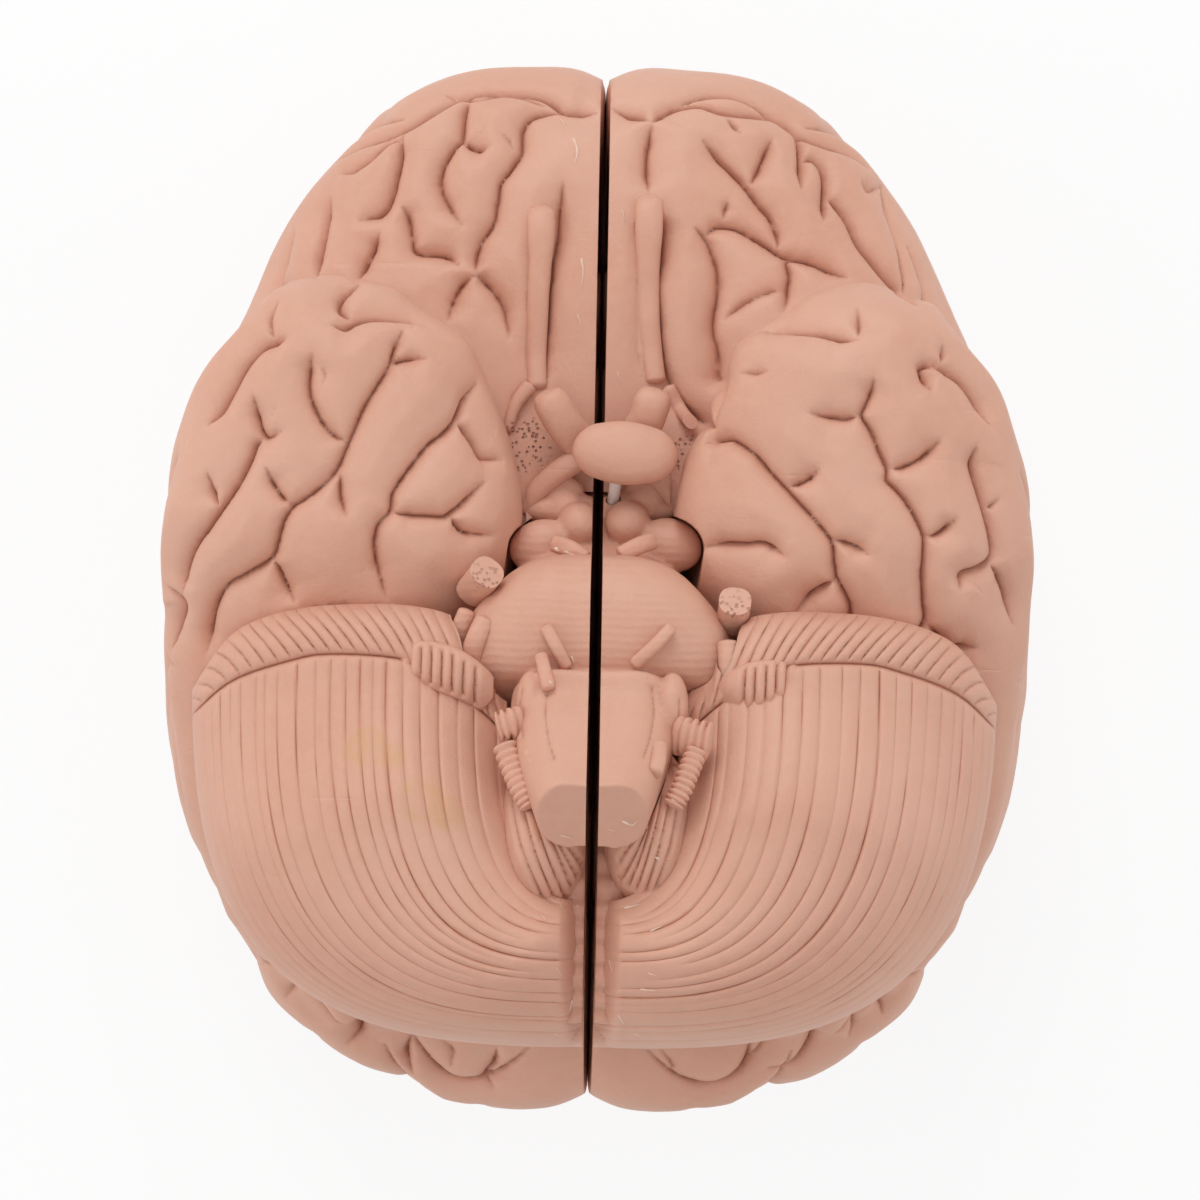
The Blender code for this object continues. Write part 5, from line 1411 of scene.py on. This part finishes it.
# Making every piece
pieces = []
flashes = []
pegs = {peg[0]: peg for peg in peg_list()}
pin_top = place(*PIN_TOP)
pin_end = pin_top + PIN_WAY * PIN_LENGTH
clear = PIN_WAY * PEG_CLEARANCE
for side, word in WORDS.items():
    stem, blocks = brainstem(side)
    lobe = cerebellum(side)
    pull = CEREBELLUM_PULL * CEREBELLUM_TRAVEL
    up = Vector((0, 0, STEM_TRAVEL))
    out = Vector((side * LOBE_TRAVEL, 0, 0))
    cut(lobe, [swept_hull("stem_way", block, SEAT_GAP, [-pull]) for block in blocks])
    keep_main_body(lobe)

    half = cerebrum_form(side)
    press_folds(half, fold_paths(side, skin_of(half)))
    apply_modifier(half, "DECIMATE", decimate_type="COLLAPSE",
                   ratio=min(1.0, HALF_FACES / (2 * len(half.data.polygons))))
    front = copy_of(half)
    trim_middle(join(front, base_strands(side, skin_of(half))), side)
    cut(front, [split_block(side, SPLIT_GAP / 2)])
    cut(front, [swept_hull("stem_well", block, SEAT_GAP, [up]) for block in blocks])
    cut(front, [swept_hull("lobe_room", [lobe], SEAT_GAP, [up, pull])])
    keep_main_body(front)
    combine(half, split_block(side, -SPLIT_GAP / 2), "INTERSECT")
    trim_middle(half, side)
    cut(half, [swept_hull("stem_room", block, SEAT_GAP, [up, -out]) for block in blocks])
    cut(half, [swept_hull("lobe_way", [lobe], SEAT_GAP, [up, pull, -out])])
    keep_main_body(half)
    for block in blocks:
        for form in block:
            remove(form)

    for label in ("front", "back"):
        side_peg = pegs["side_peg_%s_%s" % (word, label)]
        cut(front, [bore(pegs["hemisphere_peg_" + label]), bore(side_peg)])
        cut(half, [bore(side_peg)])
    cut(front, [bore(pegs["brainstem_peg_" + word])])
    cut(stem, [bore(pegs["brainstem_peg_" + word]), bore(pegs["cerebellum_peg_" + word])])
    cut(lobe, [bore(pegs["cerebellum_peg_" + word])])
    if side == LEFT:
        cut(stem, [pin_hole(pin_top, pin_end + clear)])
    for form, label in ((front, "frontal_parietal_"), (half, "temporal_occipital_"), (stem, "brainstem_"),
                        (lobe, "cerebellum_")):
        node = label + word
        form.name = "vinyl_" + node
        keep_main_body(form)
        mark_hollow_shade(form)
        mark_spots(form, "dots", patches(DOTTED, node))
        mark_spots(form, "stain", patches(STAINED, node))
        mark_spots(form, "grain", patches(STRIATED, node))
        pieces.append((form, node, node))
        if node in FLASH:
            flashes.append((flash(node, skin_of(form)), node))

gland = pituitary()
cut(gland, [pin_hole(pin_top - clear, pin_end)])
mark_hollow_shade(gland)
pieces.append((gland, "pituitary_gland", "brainstem_left"))

nylon_pieces = []
pin = round_rod("nylon_pituitary_pin", pin_top, pin_end, PIN_DIAMETER, 0.7 * MM, 4, False)
nylon_pieces.append((pin, "pituitary_pin", "brainstem_left"))
for node, middle, way, diameter, length in pegs.values():
    span = way.normalized() * (length / 2)
    body = [name for name, nodes in frame["record"]["behaviour"]["bodies"].items() if node in nodes][0]
    rod = round_rod("nylon_" + node, middle - span, middle + span, diameter, 0.5 * MM, 3)
    nylon_pieces.append((rod, node, body))


# Finishes
def linear(red, green, blue):
    return tuple(((c / 255 + 0.055) / 1.055) ** 2.4 for c in (red, green, blue)) + (1.0,)


def new_group(name, inputs, outputs):
    """Empty shader node group with named number inputs and outputs."""
    group = bpy.data.node_groups.new(name, "ShaderNodeTree")
    for label, value in inputs:
        socket = group.interface.new_socket(label, in_out="INPUT", socket_type="NodeSocketFloat")
        socket.default_value = value
    for label in outputs:
        group.interface.new_socket(label, in_out="OUTPUT", socket_type="NodeSocketFloat")
    return group, group.nodes.new("NodeGroupInput"), group.nodes.new("NodeGroupOutput")


def number(tree, operation, first, second):
    """Math node whose two inputs are each a socket or a number."""
    node = tree.nodes.new("ShaderNodeMath")
    node.operation = operation
    for socket, value in zip(node.inputs, (first, second)):
        if isinstance(value, (int, float)):
            socket.default_value = value
        else:
            tree.links.new(value, socket)
    return node.outputs[0]


def noise_value(tree, at, scale, detail, roughness=0.5):
    node = tree.nodes.new("ShaderNodeTexNoise")
    node.inputs["Detail"].default_value = detail
    node.inputs["Roughness"].default_value = roughness
    tree.links.new(at, node.inputs["Vector"])
    if isinstance(scale, (int, float)):
        node.inputs["Scale"].default_value = scale
    else:
        tree.links.new(scale, node.inputs["Scale"])
    return node.outputs["Fac"]


def object_place(tree):
    return tree.nodes.new("ShaderNodeTexCoord").outputs["Object"]


def spread(tree, value, low, high):
    """Stretches a value so that low becomes 0 and high becomes 1, held between them."""
    node = tree.nodes.new("ShaderNodeMapRange")
    node.inputs["From Min"].default_value = low
    node.inputs["From Max"].default_value = high
    tree.links.new(value, node.inputs["Value"])
    return node.outputs["Result"]


def cast_colour_group():
    """Slow and fine variation of a cast colour, both from 0 to 1."""
    group, given, result = new_group("cast_colour", [("Slow Scale", 40.0), ("Fine Scale", 320.0)],
                                     ["Slow", "Fine"])
    at = object_place(group)
    slow = spread(group, noise_value(group, at, given.outputs["Slow Scale"], 3.0), 0.32, 0.68)
    fine = spread(group, noise_value(group, at, given.outputs["Fine Scale"], 4.0, 0.6), 0.3, 0.7)
    group.links.new(slow, result.inputs["Slow"])
    group.links.new(fine, result.inputs["Fine"])
    return group


def cast_skin_group():
    """Height of a moulded skin: a fine grain, soft dents and a few scratches."""
    group, given, result = new_group("cast_skin", [("Grain Scale", 1500.0), ("Grain", 1.0), ("Dents", 1.0),
                                                   ("Scratches", 1.0)], ["Height", "Scratch"])
    at = object_place(group)
    grain = noise_value(group, at, given.outputs["Grain Scale"], 2.0)
    dents = noise_value(group, at, 260.0, 3.0)
    lines = group.nodes.new("ShaderNodeTexNoise")
    lines.inputs["Scale"].default_value = 120.0
    lines.inputs["Detail"].default_value = 2.0
    stretch = group.nodes.new("ShaderNodeMapping")
    stretch.inputs["Rotation"].default_value = (0.3, 0.2, 0.9)
    stretch.inputs["Scale"].default_value = (0.12, 4.0, 1.0)
    group.links.new(at, stretch.inputs["Vector"])
    group.links.new(stretch.outputs["Vector"], lines.inputs["Vector"])
    scratch = spread(group, lines.outputs["Fac"], 0.71, 0.76)
    height = number(group, "MULTIPLY", grain, given.outputs["Grain"])
    height = number(group, "ADD", height, number(group, "MULTIPLY", dents, given.outputs["Dents"]))
    scratch = number(group, "MULTIPLY", scratch, given.outputs["Scratches"])
    height = number(group, "SUBTRACT", height, scratch)
    group.links.new(height, result.inputs["Height"])
    group.links.new(scratch, result.inputs["Scratch"])
    return group


def use_group(tree, group, **values):
    node = tree.nodes.new("ShaderNodeGroup")
    node.node_tree = group
    for label, value in values.items():
        node.inputs[label.replace("_", " ")].default_value = value
    return node


def mark(tree, name):
    node = tree.nodes.new("ShaderNodeAttribute")
    node.attribute_name = name
    return node.outputs["Fac"]


def tint(tree, share, first, second):
    """Colour that goes from the first to the second, each a socket or a colour."""
    node = tree.nodes.new("ShaderNodeMix")
    node.data_type = "RGBA"
    colours = [socket for socket in node.inputs if socket.type == "RGBA"]
    for socket, value in zip(colours, (first, second)):
        if isinstance(value, tuple):
            socket.default_value = value
        else:
            tree.links.new(value, socket)
    tree.links.new(share, node.inputs["Factor"])
    return [socket for socket in node.outputs if socket.type == "RGBA"][0]


def bump(tree, height, distance):
    node = tree.nodes.new("ShaderNodeBump")
    node.inputs["Strength"].default_value = 1.0
    node.inputs["Distance"].default_value = distance
    tree.links.new(height, node.inputs["Height"])
    return node.outputs["Normal"]


def new_material(name):
    material = bpy.data.materials.new(name)
    material.use_nodes = True
    return material, material.node_tree, material.node_tree.nodes["Principled BSDF"]


FLESH = linear(218, 168, 146)
FLESH_WARM = linear(205, 147, 122)
FLESH_PALE = linear(226, 181, 158)
# Painted shade in the folds: the darker, redder colour laid into the creases
CREASE_SHADE = linear(162, 92, 68)
STAIN = linear(203, 158, 98)
# Painted shade inside the small pits of the perforated patches
DOT_SHADE = linear(140, 84, 66)
FLASH_PALE = linear(240, 219, 203)
NYLON = linear(244, 243, 240)
NYLON_WARM = linear(234, 231, 222)
NYLON_SCRATCH = linear(196, 190, 178)

# How much of each colour and mark shows in the vinyl, and the height of its skin in metres
WARM_SHARE = 0.55
PALE_SHARE = 0.22
SCRATCH_SHARE = 0.5
# Share of the painted shade in the creases
CREASE_SHADE_SHARE = 0.52
STAIN_SHARE = 0.5
# Share of the painted shade in the pits
DOT_SHADE_SHARE = 0.6
DOT_DEPTH = 5.0
FIBRE_HEIGHT = 0.4
VINYL_BUMP = 0.00012
NYLON_BUMP = 0.00006


def flesh_vinyl(cast_colour, cast_skin, name, pale):
    """Soft vinyl, with shade painted into its creases and pits. The pale one, of trimmed flash, has no
    painted crease shade, stains, holes or fibres.
    """
    material, tree, shader = new_material(name)
    shader.inputs["Subsurface Weight"].default_value = 0.12
    shader.inputs["Subsurface Radius"].default_value = (1.0, 0.4, 0.25)
    shader.inputs["Subsurface Scale"].default_value = 0.002
    shader.inputs["Specular IOR Level"].default_value = 0.42
    variation = use_group(tree, cast_colour, Slow_Scale=34.0, Fine_Scale=420.0)
    skin = use_group(tree, cast_skin, Grain_Scale=1700.0, Grain=0.7, Dents=1.2, Scratches=0.5)
    slow = variation.outputs["Slow"]
    fine = variation.outputs["Fine"]
    if pale:
        colour = tint(tree, fine, FLASH_PALE, FLESH_PALE)
    else:
        colour = tint(tree, number(tree, "MULTIPLY", slow, WARM_SHARE), FLESH, FLESH_WARM)
        colour = tint(tree, number(tree, "MULTIPLY", fine, PALE_SHARE), colour, FLESH_PALE)
        colour = tint(tree, number(tree, "MULTIPLY", skin.outputs["Scratch"], SCRATCH_SHARE), colour,
                      FLESH_PALE)
        # Painted shade: the creases are tinted darker and redder by the crease mark
        crease = mark(tree, "crease")
        colour = tint(tree, number(tree, "MULTIPLY", spread(tree, crease, 0.14, 0.85), CREASE_SHADE_SHARE), colour,
                      CREASE_SHADE)
        stain = number(tree, "MULTIPLY", mark(tree, "stain"), number(tree, "MULTIPLY", fine, STAIN_SHARE))
        colour = tint(tree, stain, colour, STAIN)
    height = skin.outputs["Height"]
    if not pale:
        holes = tree.nodes.new("ShaderNodeTexVoronoi")
        holes.inputs["Scale"].default_value = 1250.0
        holes.inputs["Randomness"].default_value = 0.75
        tree.links.new(object_place(tree), holes.inputs["Vector"])
        hole = number(tree, "SUBTRACT", 1.0, spread(tree, holes.outputs["Distance"], 0.2, 0.34))
        hole = number(tree, "MULTIPLY", hole, mark(tree, "dots"))
        # Painted shade: each pit is tinted darker, as the shade inside it
        colour = tint(tree, number(tree, "MULTIPLY", hole, DOT_SHADE_SHARE), colour, DOT_SHADE)
        fibres = tree.nodes.new("ShaderNodeTexWave")
        fibres.bands_direction = "Y"
        fibres.inputs["Scale"].default_value = 241.0
        fibres.inputs["Distortion"].default_value = 2.6
        fibres.inputs["Detail"].default_value = 2.0
        fibres.inputs["Detail Scale"].default_value = 0.6
        tree.links.new(object_place(tree), fibres.inputs["Vector"])
        fibre = number(tree, "MULTIPLY", fibres.outputs["Fac"], mark(tree, "grain"))
        height = number(tree, "ADD", height, number(tree, "MULTIPLY", fibre, FIBRE_HEIGHT))
        height = number(tree, "SUBTRACT", height, number(tree, "MULTIPLY", hole, DOT_DEPTH))
    gloss = number(tree, "ADD", 0.47, number(tree, "MULTIPLY", fine, 0.1))
    if not pale:
        gloss = number(tree, "ADD", gloss, number(tree, "MULTIPLY", crease, 0.15))
    tree.links.new(colour, shader.inputs["Base Color"])
    tree.links.new(gloss, shader.inputs["Roughness"])
    tree.links.new(bump(tree, height, VINYL_BUMP), shader.inputs["Normal"])
    return material


def white_nylon(cast_colour, cast_skin):
    material, tree, shader = new_material("white_nylon")
    variation = use_group(tree, cast_colour, Slow_Scale=90.0, Fine_Scale=900.0)
    skin = use_group(tree, cast_skin, Grain_Scale=2600.0, Grain=0.5, Dents=0.5, Scratches=0.8)
    colour = tint(tree, variation.outputs["Slow"], NYLON, NYLON_WARM)
    colour = tint(tree, number(tree, "MULTIPLY", skin.outputs["Scratch"], 0.4), colour, NYLON_SCRATCH)
    gloss = number(tree, "ADD", 0.3, number(tree, "MULTIPLY", variation.outputs["Fine"], 0.14))
    tree.links.new(colour, shader.inputs["Base Color"])
    tree.links.new(gloss, shader.inputs["Roughness"])
    tree.links.new(bump(tree, skin.outputs["Height"], NYLON_BUMP), shader.inputs["Normal"])
    return material


cast_colour = cast_colour_group()
cast_skin = cast_skin_group()
vinyl = flesh_vinyl(cast_colour, cast_skin, "flesh_vinyl", False)
pale_vinyl = flesh_vinyl(cast_colour, cast_skin, "trimmed_flash", True)
nylon = white_nylon(cast_colour, cast_skin)


def dress(form, material, body, node):
    form.data.materials.clear()
    form.data.materials.append(material)
    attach(form, body)
    if node:
        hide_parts(node)


for form, node, body in pieces:
    shade(form, 66)
    dress(form, vinyl, body, node)
for form, body in flashes:
    shade(form, 40)
    dress(form, pale_vinyl, body, None)
for form, node, body in nylon_pieces:
    shade(form, 40)
    dress(form, nylon, body, node)

# Floor, lights and camera
bpy.ops.mesh.primitive_plane_add(size=6, location=(0, 0, 0))
floor = bpy.context.active_object
floor.name = "floor"
paper, paper_tree, paper_shader = new_material("paper")
paper_variation = use_group(paper_tree, cast_colour, Slow_Scale=3.0, Fine_Scale=60.0).outputs["Slow"]
paper_colour = tint(paper_tree, paper_variation, linear(251, 251, 251), linear(247, 247, 247))
paper_tree.links.new(paper_colour, paper_shader.inputs["Base Color"])
paper_shader.inputs["Roughness"].default_value = 0.9
paper_output = paper_tree.nodes["Material Output"]

# The paper glows only where the camera looks at it, so that it is pale and still takes the shadow
FLOOR_GLOW = 0.84
light_path = paper_tree.nodes.new("ShaderNodeLightPath")
seen = number(paper_tree, "ADD", light_path.outputs["Is Camera Ray"], light_path.outputs["Is Glossy Ray"])
seen = number(paper_tree, "ADD", seen, light_path.outputs["Is Transmission Ray"])
glow = paper_tree.nodes.new("ShaderNodeEmission")
glow.inputs["Color"].default_value = (1, 1, 1, 1)
blend = paper_tree.nodes.new("ShaderNodeMixShader")
paper_tree.links.new(number(paper_tree, "MULTIPLY", number(paper_tree, "MINIMUM", seen, 1.0), FLOOR_GLOW),
                     blend.inputs["Fac"])
paper_tree.links.new(paper_shader.outputs["BSDF"], blend.inputs[1])
paper_tree.links.new(glow.outputs["Emission"], blend.inputs[2])
paper_tree.links.new(blend.outputs["Shader"], paper_output.inputs["Surface"])
floor.data.materials.append(paper)


def area_light(name, place_at, aim, size, watts):
    """Square light that points at a height above the middle of the floor."""
    lamp = bpy.data.lights.new(name, "AREA")
    lamp.energy = watts
    lamp.size = size
    holder = bpy.data.objects.new(name, lamp)
    bpy.context.scene.collection.objects.link(holder)
    holder.location = place_at
    holder.rotation_euler = (Vector((0, 0, aim)) - Vector(place_at)).to_track_quat("-Z", "Y").to_euler()


area_light("key_light", (-0.2, 1.05, 0.85), 0.06, 0.8, 7.6)
area_light("top_light", (0.0, -0.1, 1.6), 0.05, 1.2, 3.8)
area_light("left_light", (-0.95, 0.0, 0.5), 0.05, 0.9, 3.1)
area_light("right_light", (0.95, 0.0, 0.5), 0.05, 0.9, 2.9)
area_light("back_light", (-0.42, -0.95, 0.6), 0.06, 0.9, 1.6)
world = bpy.data.worlds.new("studio")
bpy.context.scene.world = world
world.use_nodes = True
world.node_tree.nodes["Background"].inputs["Color"].default_value = (1, 1, 1, 1)
world.node_tree.nodes["Background"].inputs["Strength"].default_value = 0.38

camera_data = bpy.data.cameras.new("camera")
camera_data.sensor_width = SENSOR_WIDTH
camera_data.lens = SENSOR_WIDTH * (VIEW_LEVEL - WIDEST_LEVEL) / (PICTURE_WIDTH / PICTURE_SCALE)
camera_data.clip_end = 20
camera = bpy.data.objects.new("camera", camera_data)
bpy.context.scene.collection.objects.link(camera)
camera.location = (0.0006, -0.002, VIEW_LEVEL * MM)
camera.rotation_euler = (0, 0, PICTURE_TILT)
bpy.context.scene.camera = camera
bpy.context.scene.view_settings.view_transform = "Standard"
